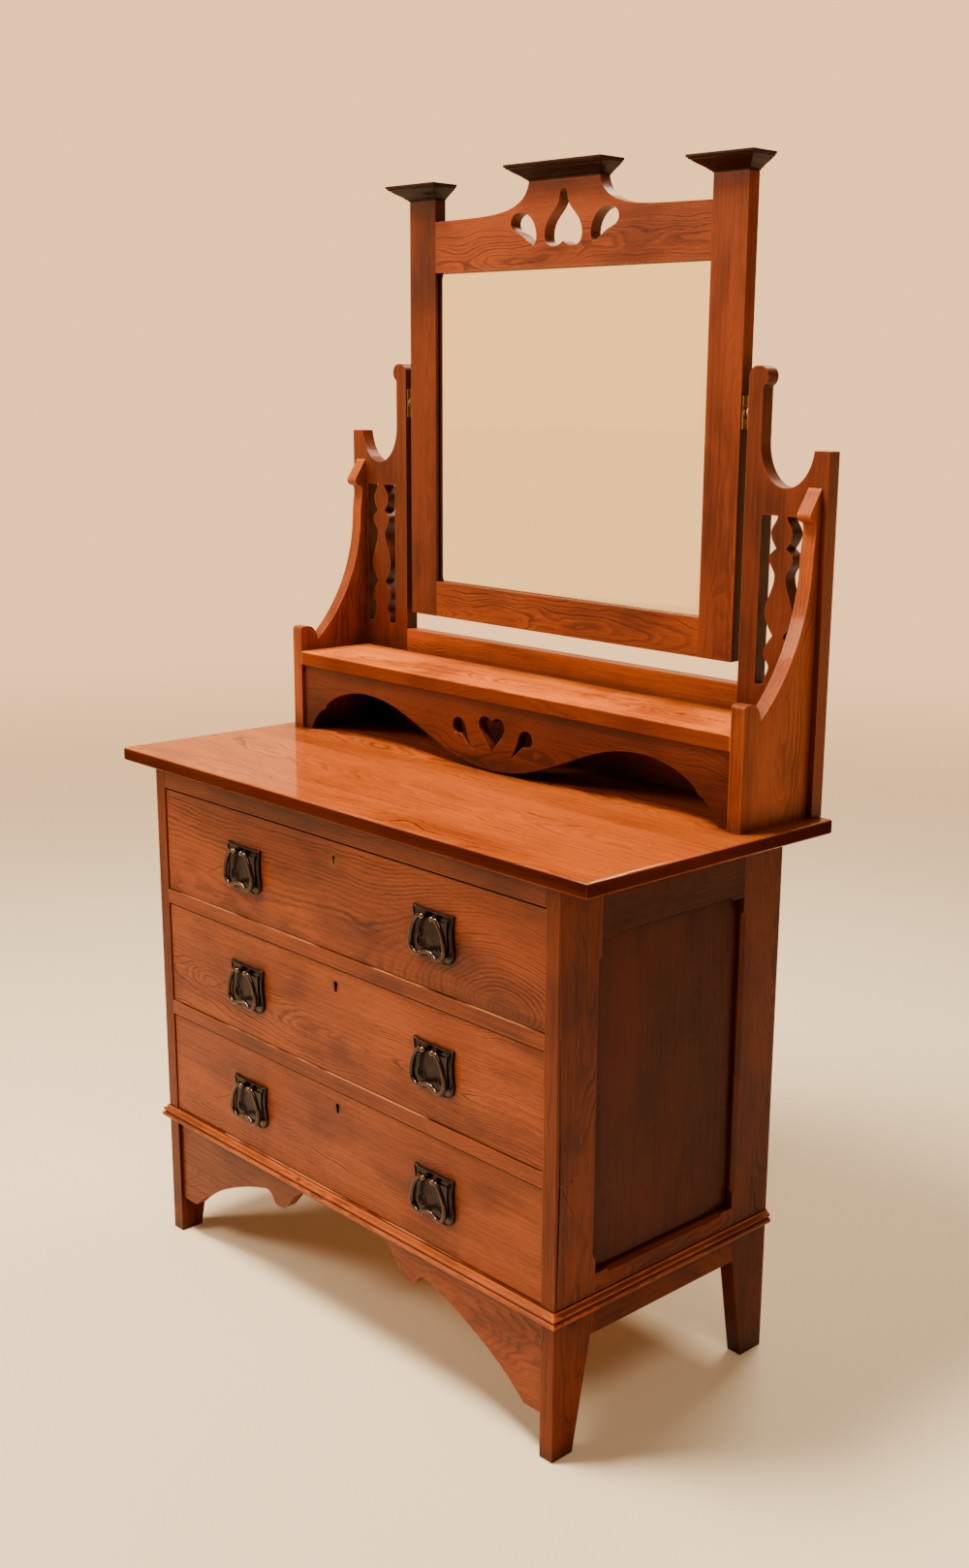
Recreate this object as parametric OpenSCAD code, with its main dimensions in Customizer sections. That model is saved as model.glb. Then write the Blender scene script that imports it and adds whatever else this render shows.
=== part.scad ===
// Dressing chest: a case of three long drawers, a gallery with a shelf, and a swing mirror.
// X runs across the front, Y from front to back, Z up. The floor is Z = 0.

/* [Top] */
// Width of the top board
top_w = 990; // [960:5:1030]
// Thickness of the top board
top_t = 20; // [17:1:25]
// Height of the top board's upper face above the floor
chest_h = 778; // [770:2:800]
// How far the top stands out in front of the posts
front_oh = 17; // [12:1:28]
// How far the top stands out behind the back posts
back_oh = 23; // [16:1:30]
// Radius of the eased edges of the top and the shelf
ease_r = 3; // [1:0.5:5]

/* [Case] */
// How far the top stands out beyond the posts at each end
side_oh = 60; // [52:1:68]
// Depth of the case from the front posts to the back posts
body_d = 413; // [400:1:440]
// Thickness of the posts and the side rails
post_t = 23; // [21:1:27]
// Width of a front post, seen from the side
post_front_w = 72; // [66:1:84]
// Width of a back post, seen from the side
post_back_w = 76; // [66:1:84]
// Width of a front foot at the floor
foot_front_w = 36; // [30:1:50]
// Width of a back foot at the floor
foot_back_w = 44; // [30:1:54]
// Height of the upper side rail
side_rail_h = 80; // [70:1:90]
// Height of the lower side rail
side_low_h = 82; // [74:1:90]
// How far the lower side rail reaches below the foot of the moulding
side_low_drop = 35; // [28:1:40]
// Thickness of the side panels
panel_t = 8; // [6:0.5:9]
// Depth of a side panel's face behind the face of the posts
panel_in = 10; // [7:1:11]
// Depth of the panel grooves
groove_d = 8; // [6:1:9]
// Width of the stopped chamfers round the side panels
chamfer_w = 5; // [3:0.5:6]
// Length left square at each end of a stopped chamfer
chamfer_stop = 20; // [12:1:30]
// Clearance of a panel in its groove and of a tenon in its mortise
joint_gap = 0.2; // [0.1:0.05:0.3]
// Length of the tenons
tenon_l = 14; // [10:1:16]
// Thickness of the tenons of the front and back rails
tenon_t = 8; // [6:1:9]
// Diameter of the pegs that hold the rail below the middle drawer
peg_d = 5; // [4:0.5:6]
// Distance of the two pegs' centres behind the front of a post
peg_y = [10, 28];

/* [Front] */
// Height of the rail over the top drawer
top_rail_h = 31; // [26:1:36]
// Height of each drawer's opening
opening_h = 158; // [150:1:160]
// Height of the rail below each drawer
rail_h = 21; // [18:1:24]
// Depth of the drawer rails from front to back
rail_d = 60; // [50:1:64]
// Height of the plinth moulding
mould_h = 20; // [18:1:24]
// How far the plinth moulding stands out
mould_p = 9; // [8:0.5:12]
// Height of rail that shows between the lowest drawer and the moulding
mould_drop = 1; // [0:0.5:3]
// Thickness of the apron
apron_t = 18; // [15:1:21]
// How far the apron's face lies behind the posts
apron_in = 5; // [3:1:7]
// How far the apron reaches below the foot of the moulding, beside the posts
apron_drop = 133; // [125:1:140]
// Length of that level edge
apron_foot_l = 36; // [26:1:46]
// Height of the apron that shows below the moulding at the middle
apron_mid_h = 10; // [7:1:14]

/* [Back and inside] */
// Thickness of the back frame
back_t = 18; // [16:1:22]
// Height of the back rails
back_rail_h = 70; // [60:1:80]
// Width of the back muntin
muntin_w = 70; // [60:1:90]
// Thickness of the back panels
back_panel_t = 6; // [4:0.5:7]
// Width of a drawer runner or kicker
runner_w = 24; // [20:1:30]
// Height of a kicker
kicker_h = 18; // [14:1:22]
// Length and width of a drawer stop
stop_l = 40; // [30:1:50]
// Depth of a drawer stop from front to back
stop_d = 16; // [12:1:20]
// Height of a drawer stop
stop_h = 6; // [4:1:7]

/* [Drawers] */
// Thickness of a drawer front
drawer_front_t = 20; // [18:1:24]
// How far the drawer fronts lie behind the rails
drawer_in = 2; // [1:0.5:4]
// Gap below a drawer front, and at each end
drawer_gap = 1; // [0.6:0.1:1.5]
// Gap above a drawer front
head_gap = 2.2; // [1.6:0.1:2.6]
// Running gap between a drawer and its runners
run_gap = 0.3; // [0.2:0.1:0.5]
// Thickness of the drawer sides and back
drawer_side_t = 12; // [10:1:14]
// How far a drawer side stands below the top of its front
drawer_side_drop = 8; // [4:1:14]
// Length of a drawer from front to back
drawer_l = 372; // [350:1:376]
// Thickness of a drawer bottom
bottom_t = 6; // [4:0.5:7]
// Height of a drawer bottom above the lower edge of the sides
bottom_up = 10; // [8:1:14]
// Depth of the grooves that hold a drawer bottom
bottom_groove = 5; // [4:0.5:6]
// Wood left in front of the dovetails in a drawer front
lap_t = 6; // [4:0.5:8]
// How much wider a dovetail is at its end, on each side
tail_flare = 2.5; // [1:0.5:4]
// Number of dovetails on each corner of a drawer
tail_count = 4; // [3:1:5]

/* [Locks] */
// Width of a lock
lock_w = 64; // [50:1:80]
// Height of a lock
lock_h = 42; // [36:1:50]
// Thickness of a lock
lock_t = 10; // [8:0.5:11]
// Thickness of the plate along the top of a lock
selvedge_t = 2; // [1.5:0.5:3]
// Depth of the keyhole's centre below the top of the drawer front
key_down = 22; // [20:1:26]
// Radius of the round part of a keyhole
key_r = 3.4; // [3:0.1:4]
// Width of the slot of a keyhole
key_slot_w = 3.6; // [3:0.1:4.5]
// Distance from the centre of the keyhole's round part to the foot of its slot
key_slot_l = 10; // [8:0.5:11]
// Wall of the brass lining of a keyhole
lining_t = 0.9; // [0.6:0.1:1.2]

/* [Handles] */
// Distance of each handle from the middle of the drawer
handle_x = 208; // [190:1:240]
// Height of the knuckles above the middle of a drawer
knuckle_up = 22; // [18:1:26]
// Distance between the two knuckles of a handle
knuckle_gap = 19; // [18:0.5:21]
// Diameter of a knuckle
knuckle_d = 8; // [7.5:0.1:8.5]
// Distance of the bail's axis in front of the plate
bail_out = 10; // [9:0.1:11]
// Half the width of a handle's plate
plate_half_w = 40; // [38:1:43]
// Height of the plate above the knuckles
plate_up = 7.5; // [6.5:0.5:9]
// Length of the plate below the knuckles
plate_down = 60; // [58:0.5:62]
// Thickness of a handle's plate
plate_t = 2.5; // [2:0.5:3.5]
// Height of the raised field on a plate
field_t = 1.8; // [1:0.1:2.2]
// Diameter of the pins of a bail
bail_pin_d = 3; // [2.6:0.1:3.2]
// Radial clearance of a bail's pin in its knuckle
bail_fit = 0.05; // [0.02:0.01:0.1]
// Diameter of the rod that a bail is cast as
bail_d = 6.6; // [5.6:0.1:7]
// Half the width of a bail, at the middle of the rod
bail_half_w = 33; // [31:0.5:35]
// Height from a bail's pins down to its widest place
bail_wide_z = 37.5; // [36:0.5:39]
// Radius of the lobes at the foot of a bail
bail_lobe_r = 13.5; // [13:0.5:14.5]
// Angle through which each lobe turns from the widest place
bail_lobe_a = 125; // [118:1:130]
// Diameter of the shanks that hold a plate
shank_d = 5; // [4:0.5:5.5]
// Width across the corners of a shank's nut
nut_d = 11; // [10:0.5:13]
// Thickness of a shank's nut
nut_t = 4; // [3:0.5:5]

/* [Gallery] */
// How far the gallery's side boards stand in from the ends of the top
gallery_in = 27; // [22:1:34]
// Depth of the side boards
gside_d = 134; // [124:1:144]
// Thickness of the side boards
gside_t = 21; // [18:1:23]
// Thickness of the standards and the gallery's back rail
std_t = 21; // [20:1:24]
// Width of a standard at its foot
std_w = 133; // [126:1:138]
// How far a standard shows beyond its side board
std_proud = 9; // [6:1:12]
// Height of a side board's front horn
side_horn_h = 163; // [156:1:170]
// Height of a side board's scroll where it meets the standard
side_scroll_h = 423; // [418:1:432]
// Height of a standard to the top of its scroll
std_h = 571; // [560:1:585]
// Height of a standard's outer horn
horn_h = 468; // [460:1:476]
// Height of the lowest point of the scoop between scroll and horn
scoop_h = 420; // [415:1:426]
// Width of a standard at its neck, and of its horn
neck_w = 23; // [20:1:26]
// Radius of a standard's scroll
scroll_r = 13; // [11:0.5:15]
// Height of the foot of the pierced slot
slot_low = 165; // [163:1:174]
// Height of the head of the pierced slot
slot_high = 385; // [375:1:390]
// Width of a standard beside the slot, towards the mirror
slot_in_w = 29; // [25:1:32]
// Width of a standard beside the slot, towards the outside
slot_out_w = 35; // [30:1:40]
// Half the width of the baluster at its fullest
bulb_half_w = 22.5; // [18:0.5:24]
// Height of the gallery's back rail
gback_h = 160; // [150:1:164]
// Height of the shelf's upper face
shelf_h = 124; // [116:1:132]
// Thickness of the shelf
shelf_t = 22; // [18:1:26]
// Depth of the housings that hold the shelf
housing_d = 6; // [4:0.5:8]
// Thickness of the apron below the shelf
sapron_t = 16; // [14:1:20]
// How far that apron's face lies behind the edge of the shelf
sapron_in = 5; // [3:1:8]

/* [Mirror] */
// Width of a stile
stile_w = 60; // [54:1:66]
// Thickness of the mirror's frame
frame_t = 20; // [18:1:21]
// Height of the mirror's lower edge above the top board
mirror_z = 187.5; // [184:0.5:195]
// Height of the bottom rail
mirror_low_h = 54.5; // [50:0.5:60]
// Height of the glass that shows
sight_h = 461; // [450:1:470]
// Height of the crest rail where it meets the stiles
crest_low_h = 73; // [70:1:80]
// Height of the crest rail at its neck
crest_h = 117; // [114:1:122]
// Half the width of the crest rail's neck
crest_half_w = 70; // [66:1:76]
// How far the posts stand above the crest rail's shoulders
post_up = 32; // [28:1:38]
// Height of the moulded caps
cap_h = 21; // [18:1:24]
// How far the caps stand out
cap_oh = 26; // [20:1:28]
// Gap between the mirror and each standard
swing_gap = 12; // [11:0.5:14]
// Height of the swivels above the top board
pivot_h = 512; // [505:1:520]
// Thickness of wood in front of the glass
lip_t = 6; // [5:0.5:7]
// Width of the rebate that holds the glass
rebate_w = 8; // [6:0.5:10]
// Thickness of the mirror glass
glass_t = 5; // [4:0.5:6]
// Width of the glass's bevel that shows
bevel_w = 18; // [12:1:24]
// Thickness of the mirror's back board
mback_t = 5; // [4:0.5:6]

/* [Swivels] */
// Diameter of a swivel pin
swivel_d = 8; // [6:0.5:9]
// Radial clearance of a swivel pin in its socket
swivel_fit = 0.05; // [0.02:0.01:0.1]
// Diameter of the bosses round the swivels
boss_d = 15; // [13:0.5:17]
// Thickness of the swivel plates
swivel_plate_t = 2.5; // [2:0.5:3]
// Height of the swivel plates
swivel_plate_h = 42; // [36:1:48]
// Width of the swivel plates
swivel_plate_w = 16; // [15:0.5:17]
// Length of the bosses
boss_l = 2.5; // [2:0.25:3]
// Length of a swivel pin beyond the face of the standard
swivel_in = 7; // [5:0.5:9]

/* [Hidden] */
$fn = 48;
OAK = "#a5602f";
OAK_DARK = "#7d4526";
PINE = "#c79b62";
BRONZE = "#3b3029";
BRASS = "#b3904c";
GLASS = "#dfe6e2";

// Widths that follow from the top board's
body_w = top_w - 2 * side_oh;
gallery_w = top_w - 2 * gallery_in;
mirror_w = gallery_w + 2 * std_proud - 2 * std_w - 2 * swing_gap;

// Places shared by several pieces
half_w = body_w / 2;
inner_w = half_w - post_t;
top_d = front_oh + body_d + back_oh;
front_y = front_oh - top_d / 2;
back_y = front_y + body_d;
top_under = chest_h - top_t;
eps = 0.01;

// Foot of each drawer opening, the top one first
function opening_z(i) = top_under - top_rail_h - opening_h - i * (opening_h + rail_h);
DRAWERS = [0, 1, 2];
mould_top = opening_z(2) - mould_drop;
taper_h = mould_top - mould_h;
low_rail_z = opening_z(2) - rail_h;
side_low_z = taper_h - side_low_drop;
apron_foot_z = taper_h - apron_drop;

// The opening for a side panel, as seen from the side
panel_y0 = front_y + post_front_w;
panel_y1 = back_y - post_back_w;
panel_z0 = side_low_z + side_low_h;
panel_z1 = top_under - side_rail_h;
panel_x = half_w - panel_in;
slot_t = panel_t + 2 * joint_gap;
tenon_set = 12;
rail_tenon_y0 = front_y + 5;
rail_tenon_y1 = front_y + rail_d - 16;
low_tenon_z = taper_h + 6;
mortise_l = tenon_l + 0.5;

// The back frame
frame_y = back_y - back_t;
back_z0 = side_low_z;
back_panel_y = frame_y + back_t / 2;
back_slot_t = back_panel_t + 2 * joint_gap;

// Drawers
drawer_half_w = inner_w - drawer_gap;
drawer_y = front_y + drawer_in;
box_y = drawer_y + drawer_front_t;
drawer_end = drawer_y + drawer_l;
tail_gap = 0.1;
handle_z_drop = opening_h / 2 - knuckle_up;

// Gallery and mirror, with heights counted from the top board
std_y = top_d / 2 - std_t;
std_x0 = mirror_w / 2 + swing_gap;
std_x1 = gallery_w / 2 + std_proud;
gside_x = gallery_w / 2 - gside_t;
gside_y = std_y - gside_d;
pivot_y = std_y + frame_t / 2;
sight_w = mirror_w - 2 * stile_w;
sight_z = mirror_z + mirror_low_h;
crest_z = sight_z + sight_h;
post_top = crest_z + crest_low_h + post_up;
crest_top = crest_z + crest_h;

// Points along a circular arc, from angle a0 to angle a1
function arc(c, r, a0, a1, n = 10) =
    [for (i = [0:n]) let (a = a0 + (a1 - a0) * i / n) c + r * [cos(a), sin(a)]];

// Points along an ellipse with half axes r[0] and r[1]
function oval(c, r, a0, a1, n = 20) =
    [for (i = [0:n]) let (a = a0 + (a1 - a0) * i / n) c + [r[0] * cos(a), r[1] * sin(a)]];

// Points along a cubic curve with the four control points p
function curve(p, n = 10) =
    [for (i = [0:n]) let (t = i / n, s = 1 - t)
        s * s * s * p[0] + 3 * s * s * t * p[1] + 3 * s * t * t * p[2] + t * t * t * p[3]];

// The same points on the other side of the middle line, in the opposite order
function flip(p) = [for (i = [len(p) - 1:-1:0]) [-p[i][0], p[i][1]]];

// A rectangle with rounded corners, as points
function soft_box(w0, w1, h0, h1, r) = concat(
    arc([w1 - r, h0 + r], r, -90, 0, 6), arc([w1 - r, h1 - r], r, 0, 90, 6),
    arc([w0 + r, h1 - r], r, 90, 180, 6), arc([w0 + r, h0 + r], r, 180, 270, 6));

// A plain board between two corners
module board(a, b) {
    translate(a) cube(b - a);
}

// A board sawn to an outline that is drawn as seen from the front
module fret(y, t) {
    translate([0, y + t, 0]) rotate([90, 0, 0]) linear_extrude(t) children();
}

// A board sawn to an outline that is drawn in Y and Z, as seen from the right
module side_cut(x, t) {
    translate([x, 0, 0]) rotate([90, 0, 90]) linear_extrude(t) children();
}

module on_left() {
    mirror([1, 0, 0]) children();
}

module both_sides() {
    children();
    on_left() children();
}

module on_top() {
    translate([0, 0, chest_h]) children();
}

// Cutter for a chamfer along Z that runs out at both ends, on the edge of a solid that
// fills X < 0 and Y < 0
module stopped_chamfer(l) {
    c = chamfer_w;
    run_out = 1.6;
    intersection() {
        translate([0, 0, -c]) linear_extrude(l + 2 * c)
            polygon([[-c - eps, eps], [eps, eps], [eps, -c - eps]]);
        rotate([0, 0, -135]) rotate([90, 0, 0]) linear_extrude(4 * c, center = true)
            polygon([[-1, -run_out], [c, c * run_out], [c, l - c * run_out], [-1, l + run_out]]);
    }
}

// Top board, its four edges eased
module top_board() {
    color(OAK) intersection() {
        fret(-top_d / 2, top_d)
            polygon(soft_box(-top_w / 2, top_w / 2, top_under, chest_h, ease_r));
        side_cut(-top_w / 2, top_w)
            polygon(soft_box(-top_d / 2, top_d / 2, top_under, chest_h, ease_r));
    }
}

// Grooves and mortises that the two side rails and the panel need in the edge of a post
module side_slots(y, way) {
    x0 = panel_x - slot_t;
    z0 = panel_z0 - groove_d;
    z1 = panel_z1 + groove_d;
    y0 = min(y, y + way * groove_d);
    board([x0, y0, z0 - joint_gap], [panel_x, y0 + groove_d + eps, z1 + joint_gap]);
    m0 = min(y, y + way * mortise_l);
    for (z = [[low_tenon_z, z0], [z1, top_under - tenon_set]])
        board([x0, m0, z[0] - joint_gap], [panel_x, m0 + mortise_l, z[1] + joint_gap]);
}

// Mortises that the front rails and the apron need in the inner face of a front post
module front_slots() {
    x1 = inner_w + mortise_l;
    g = joint_gap;
    for (i = DRAWERS) {
        z = opening_z(i) - rail_h;
        board([inner_w - eps, rail_tenon_y0 - g, z + rail_h / 4 - g],
            [x1, rail_tenon_y1 + g, z + rail_h * 3 / 4 + g]);
    }
    board([inner_w - eps, front_y + tenon_t - g, top_under - top_rail_h + tenon_t - g],
        [x1, front_y + 2 * tenon_t + g, top_under - tenon_t + g]);
    board([inner_w - eps, front_y + apron_in + tenon_t / 2 - g, apron_foot_z + tenon_set - g],
        [x1, front_y + apron_in + apron_t - tenon_t / 2 + g, low_rail_z - tenon_set + g]);
}

// Groove for a back panel and mortises for the back rails, in the inner face of a back post
module back_slots() {
    y0 = back_panel_y - back_slot_t / 2;
    board([inner_w - eps, y0, back_z0 + back_rail_h - groove_d],
        [inner_w + groove_d, y0 + back_slot_t, top_under - back_rail_h + groove_d]);
    for (z = [back_z0, top_under - back_rail_h])
        board([inner_w - eps, y0, z + tenon_set - joint_gap],
            [inner_w + mortise_l, y0 + back_slot_t, z + back_rail_h - tenon_set + joint_gap]);
}

module post_chamfer() {
    l = panel_z1 - panel_z0 - 2 * chamfer_stop;
    translate([half_w, 0, panel_z0 + chamfer_stop]) stopped_chamfer(l);
}

// Front post: straight in front, its back edge tapered below the moulding
module front_post() {
    color(OAK) difference() {
        side_cut(inner_w, post_t) polygon([
            [front_y, 0], [front_y + foot_front_w, 0], [front_y + post_front_w, taper_h],
            [front_y + post_front_w, top_under], [front_y, top_under]]);
        side_slots(panel_y0, -1);
        front_slots();
        pegs(inner_w + 1, half_w + 1, joint_gap);
        translate([0, panel_y0, 0]) post_chamfer();
    }
}

module front_post_left() {
    on_left() front_post();
}

module front_post_right() {
    front_post();
}

// Back post: straight behind, its front edge tapered below the moulding
module back_post() {
    color(OAK) difference() {
        side_cut(inner_w, post_t) polygon([
            [back_y, 0], [back_y, top_under], [back_y - post_back_w, top_under],
            [back_y - post_back_w, taper_h], [back_y - foot_back_w, 0]]);
        side_slots(panel_y1, 1);
        back_slots();
        translate([0, panel_y1, 0]) mirror([0, 1, 0]) post_chamfer();
    }
}

module back_post_left() {
    on_left() back_post();
}

module back_post_right() {
    back_post();
}

// Tenon on each end of a side rail, from height z0 to z1
module side_tenons(z0, z1) {
    board([panel_x - joint_gap - panel_t, panel_y0 - tenon_l, z0],
        [panel_x - joint_gap, panel_y1 + tenon_l, z1]);
}

module rail_chamfer() {
    translate([half_w, panel_y0 + chamfer_stop, 0]) rotate([-90, 0, 0])
        stopped_chamfer(panel_y1 - panel_y0 - 2 * chamfer_stop);
}

// Upper side rails, flush with the posts
module side_top_rails() {
    color(OAK) both_sides() difference() {
        union() {
            board([inner_w, panel_y0, panel_z1], [half_w, panel_y1, top_under]);
            side_tenons(panel_z1 + groove_d, top_under - tenon_set);
        }
        board([panel_x - slot_t, panel_y0 - tenon_l, panel_z1 - eps],
            [panel_x, panel_y1 + tenon_l, panel_z1 + groove_d]);
        translate([0, 0, panel_z1]) rail_chamfer();
    }
}

// Lower side rails: below the moulding their ends follow the taper of the posts
module side_bottom_rails() {
    drop = (taper_h - side_low_z) / taper_h;
    y0 = panel_y0 - drop * (post_front_w - foot_front_w);
    y1 = panel_y1 + drop * (post_back_w - foot_back_w);
    color(OAK) both_sides() difference() {
        union() {
            side_cut(inner_w, post_t) polygon([
                [panel_y0, panel_z0], [panel_y0, taper_h], [y0, side_low_z],
                [y1, side_low_z], [panel_y1, taper_h], [panel_y1, panel_z0]]);
            side_tenons(low_tenon_z, panel_z0 - groove_d);
        }
        board([panel_x - slot_t, panel_y0 - tenon_l, panel_z0 - groove_d],
            [panel_x, panel_y1 + tenon_l, panel_z0 + eps]);
        translate([0, 0, panel_z0]) mirror([0, 0, 1]) rail_chamfer();
    }
}

// Side panels, loose in the grooves of the posts and rails
module side_panels() {
    d = groove_d - joint_gap;
    color(OAK_DARK) both_sides()
        board([panel_x - joint_gap - panel_t, panel_y0 - d, panel_z0 - d],
            [panel_x - joint_gap, panel_y1 + d, panel_z1 + d]);
}

// Rail over the top drawer
module front_top_rail() {
    z0 = top_under - top_rail_h;
    color(OAK) {
        board([-inner_w, front_y, z0], [inner_w, front_y + post_t, top_under]);
        both_sides() board([inner_w - eps, front_y + tenon_t, z0 + tenon_t],
            [inner_w + tenon_l, front_y + 2 * tenon_t, top_under - tenon_t]);
    }
}

// One rail below a drawer, laid flat, with a tenon at each end
module drawer_rail(i) {
    z = opening_z(i) - rail_h;
    board([-inner_w, front_y, z], [inner_w, front_y + rail_d, z + rail_h]);
    both_sides() board([inner_w - eps, rail_tenon_y0, z + rail_h / 4],
        [inner_w + tenon_l, rail_tenon_y1, z + rail_h * 3 / 4]);
}

// The two pegs of the right-hand front post, from x0 to x1, thicker by g all round
module pegs(x0, x1, g) {
    for (y = peg_y)
        translate([x0, front_y + y, opening_z(1) - rail_h * 0.6]) rotate([0, 90, 0])
            cylinder(d = peg_d + 2 * g, h = x1 - x0);
}

module drawer_rails() {
    color(OAK) difference() {
        for (i = DRAWERS) drawer_rail(i);
        both_sides() pegs(inner_w + 1, half_w, joint_gap);
    }
}

// Pegs through the posts into the tenons of the rail below the middle drawer
module rail_pegs() {
    color(OAK_DARK) both_sides() pegs(inner_w + 1 + joint_gap, half_w + 0.2, 0);
}

// Half the lower edge of the front apron, from the post to the middle
function apron_edge() =
    let (w = inner_w, z = apron_foot_z, m = taper_h - apron_mid_h, h = m - z,
        foot = [w - apron_foot_l, z],
        hump = [0.46 * w, z + 0.77 * h],
        notch = [0.395 * w, z + 0.67 * h],
        drop = [0.333 * w, z + 0.67 * h],
        rise = [0.22 * w, m - 1])
    concat([[w, z]],
        curve([foot, foot + [-36, 36], hump + [70, -18], hump]),
        curve([hump, hump + [-9, 4], notch + [6, 14], notch], 6),
        curve([notch, notch + [-7, -5], drop + [7, -5], drop], 6),
        curve([drop, drop + [-12, 7], rise + [20, -3], rise], 8));

// Front apron, tenoned into the posts under the bottom rail
module front_apron() {
    y = front_y + apron_in;
    edge = apron_edge();
    color(OAK) {
        fret(y, apron_t) polygon(concat(
            [[inner_w, low_rail_z]], edge, flip(edge), [[-inner_w, low_rail_z]]));
        both_sides() board(
            [inner_w - eps, y + tenon_t / 2, apron_foot_z + tenon_set],
            [inner_w + tenon_l, y + apron_t - tenon_t / 2, low_rail_z - tenon_set]);
    }
}

// Section of the plinth moulding, as distance out and height: two beads below a hollow
function mould_section() =
    let (h = mould_h, p = mould_p, r1 = 0.2 * h, r2 = 0.13 * h, q = 0.05 * h,
        z1 = 2 * q + 2 * r1, z2 = z1 + q + 2 * r2)
    concat([[0, 0], [p - r1, 0]],
        arc([p - r1, q + r1], r1, -90, 90, 8),
        [[p - r1, z1]],
        arc([p - r1 * 0.7 - r2 * 0.5, z1 + q / 2 + r2], r2, -80, 90, 6),
        curve([[p - r1 - r2 * 0.5, z2], [p * 0.3, z2], [p * 0.25, h - q], [p * 0.2, h]], 6),
        [[0, h]]);

function toward_front(p) = [for (v = p) [front_y - v[0], taper_h + v[1]]];
function toward_side(p) = [for (v = p) [half_w + v[0], taper_h + v[1]]];

// Plinth moulding across the front, mitred at both corners
module front_moulding() {
    p = mould_p;
    color(OAK) intersection() {
        side_cut(-half_w - p, 2 * (half_w + p)) polygon(toward_front(mould_section()));
        translate([0, 0, taper_h]) linear_extrude(mould_h) polygon([
            [-half_w - p, front_y - p], [half_w + p, front_y - p],
            [half_w, front_y], [-half_w, front_y]]);
    }
}

// Plinth moulding along each side, mitred in front and cut square behind
module side_mouldings() {
    p = mould_p;
    color(OAK) both_sides() intersection() {
        fret(front_y - p, body_d + p) polygon(toward_side(mould_section()));
        translate([0, 0, taper_h]) linear_extrude(mould_h) polygon([
            [half_w, front_y], [half_w + p, front_y - p],
            [half_w + p, back_y], [half_w, back_y]]);
    }
}

// Upper and lower rails of the back frame, grooved for the panels
module back_rails() {
    y0 = back_panel_y - back_slot_t / 2;
    g = joint_gap;
    color(PINE) for (z = [back_z0, top_under - back_rail_h]) {
        inner_z = z == back_z0 ? z + back_rail_h : z;
        difference() {
            union() {
                board([-inner_w, frame_y, z], [inner_w, back_y, z + back_rail_h]);
                both_sides() board([inner_w - eps, y0 + g, z + tenon_set],
                    [inner_w + tenon_l, y0 + back_slot_t - g, z + back_rail_h - tenon_set]);
            }
            board([-inner_w - eps, y0, inner_z - groove_d],
                [inner_w + eps, y0 + back_slot_t, inner_z + groove_d]);
        }
    }
}

// Muntin of the back frame, its tongues in the grooves of the rails
module back_muntin() {
    z0 = back_z0 + back_rail_h;
    z1 = top_under - back_rail_h;
    w = muntin_w / 2;
    y0 = back_panel_y - back_slot_t / 2;
    d = groove_d - joint_gap;
    color(PINE) difference() {
        union() {
            board([-w, frame_y, z0], [w, back_y, z1]);
            board([-w, y0 + joint_gap, z0 - d], [w, y0 + back_slot_t - joint_gap, z1 + d]);
        }
        both_sides() board([w - groove_d, y0, z0 - groove_d], [w + eps, y0 + back_slot_t, z1 + groove_d]);
    }
}

module back_panels() {
    d = groove_d - joint_gap;
    y0 = back_panel_y - back_panel_t / 2;
    color(PINE) both_sides()
        board([muntin_w / 2 - d, y0, back_z0 + back_rail_h - d],
            [inner_w + d, y0 + back_panel_t, top_under - back_rail_h + d]);
}

// Runners behind the rails, and kickers that keep the top drawer level
module drawer_runners() {
    x0 = inner_w - runner_w;
    color(PINE) both_sides() {
        for (i = DRAWERS)
            board([x0, front_y + rail_d, opening_z(i) - rail_h], [inner_w, frame_y, opening_z(i)]);
        z = top_under - top_rail_h;
        board([x0, front_y + post_t, z], [inner_w, frame_y, z + kicker_h]);
    }
}

// Stops on the rails, which the backs of the drawer fronts meet
module drawer_stops() {
    x = inner_w / 2;
    y = box_y + run_gap;
    color(PINE) both_sides() for (i = DRAWERS)
        board([x - stop_l / 2, y, opening_z(i)], [x + stop_l / 2, y + stop_d, opening_z(i) + stop_h]);
}

// Side outline of a gallery board, drawn in Y and in height above the top board
function gallery_outline() =
    let (y0 = gside_y, y1 = std_y, h = side_horn_h,
        notch = [y0 + 33, h - 22], neck_y = y1 - 11, neck_z = side_scroll_h - 83,
        run = neck_y - notch[0], rise = neck_z - notch[1],
        r = (run * run + rise * rise) / (2 * run), c = [neck_y - r, neck_z],
        nose = [y1 - 13, side_scroll_h - 34], nose_r = 8)
    concat([[y0, 0]],
        [[y1, 0], [y1, side_scroll_h]],
        arc(nose, nose_r, 148, 270, 8),
        curve([nose + [0, -nose_r], nose + [10, -nose_r], [neck_y + 1.5, neck_z + 20],
            [neck_y, neck_z]], 8),
        arc(c, r, 0, -acos((notch[0] - c[0]) / r), 16),
        curve([notch, notch + [0, 8], [y0 + 26, h], [y0 + 16, h]], 6),
        arc([y0 + 5, h - 5], 5, 90, 180, 4));

// Gallery side board: a horn in front, a long sweep, and a scroll against the standard
module gallery_side() {
    g = joint_gap;
    color(OAK) on_top() difference() {
        side_cut(gside_x, gside_t) polygon(gallery_outline());
        board([gside_x - eps, gside_y + 2 * housing_d - g, shelf_h - shelf_t],
            [gside_x + housing_d + g, std_y + eps, shelf_h]);
    }
}

module gallery_side_left() {
    on_left() gallery_side();
}

module gallery_side_right() {
    gallery_side();
}

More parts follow.
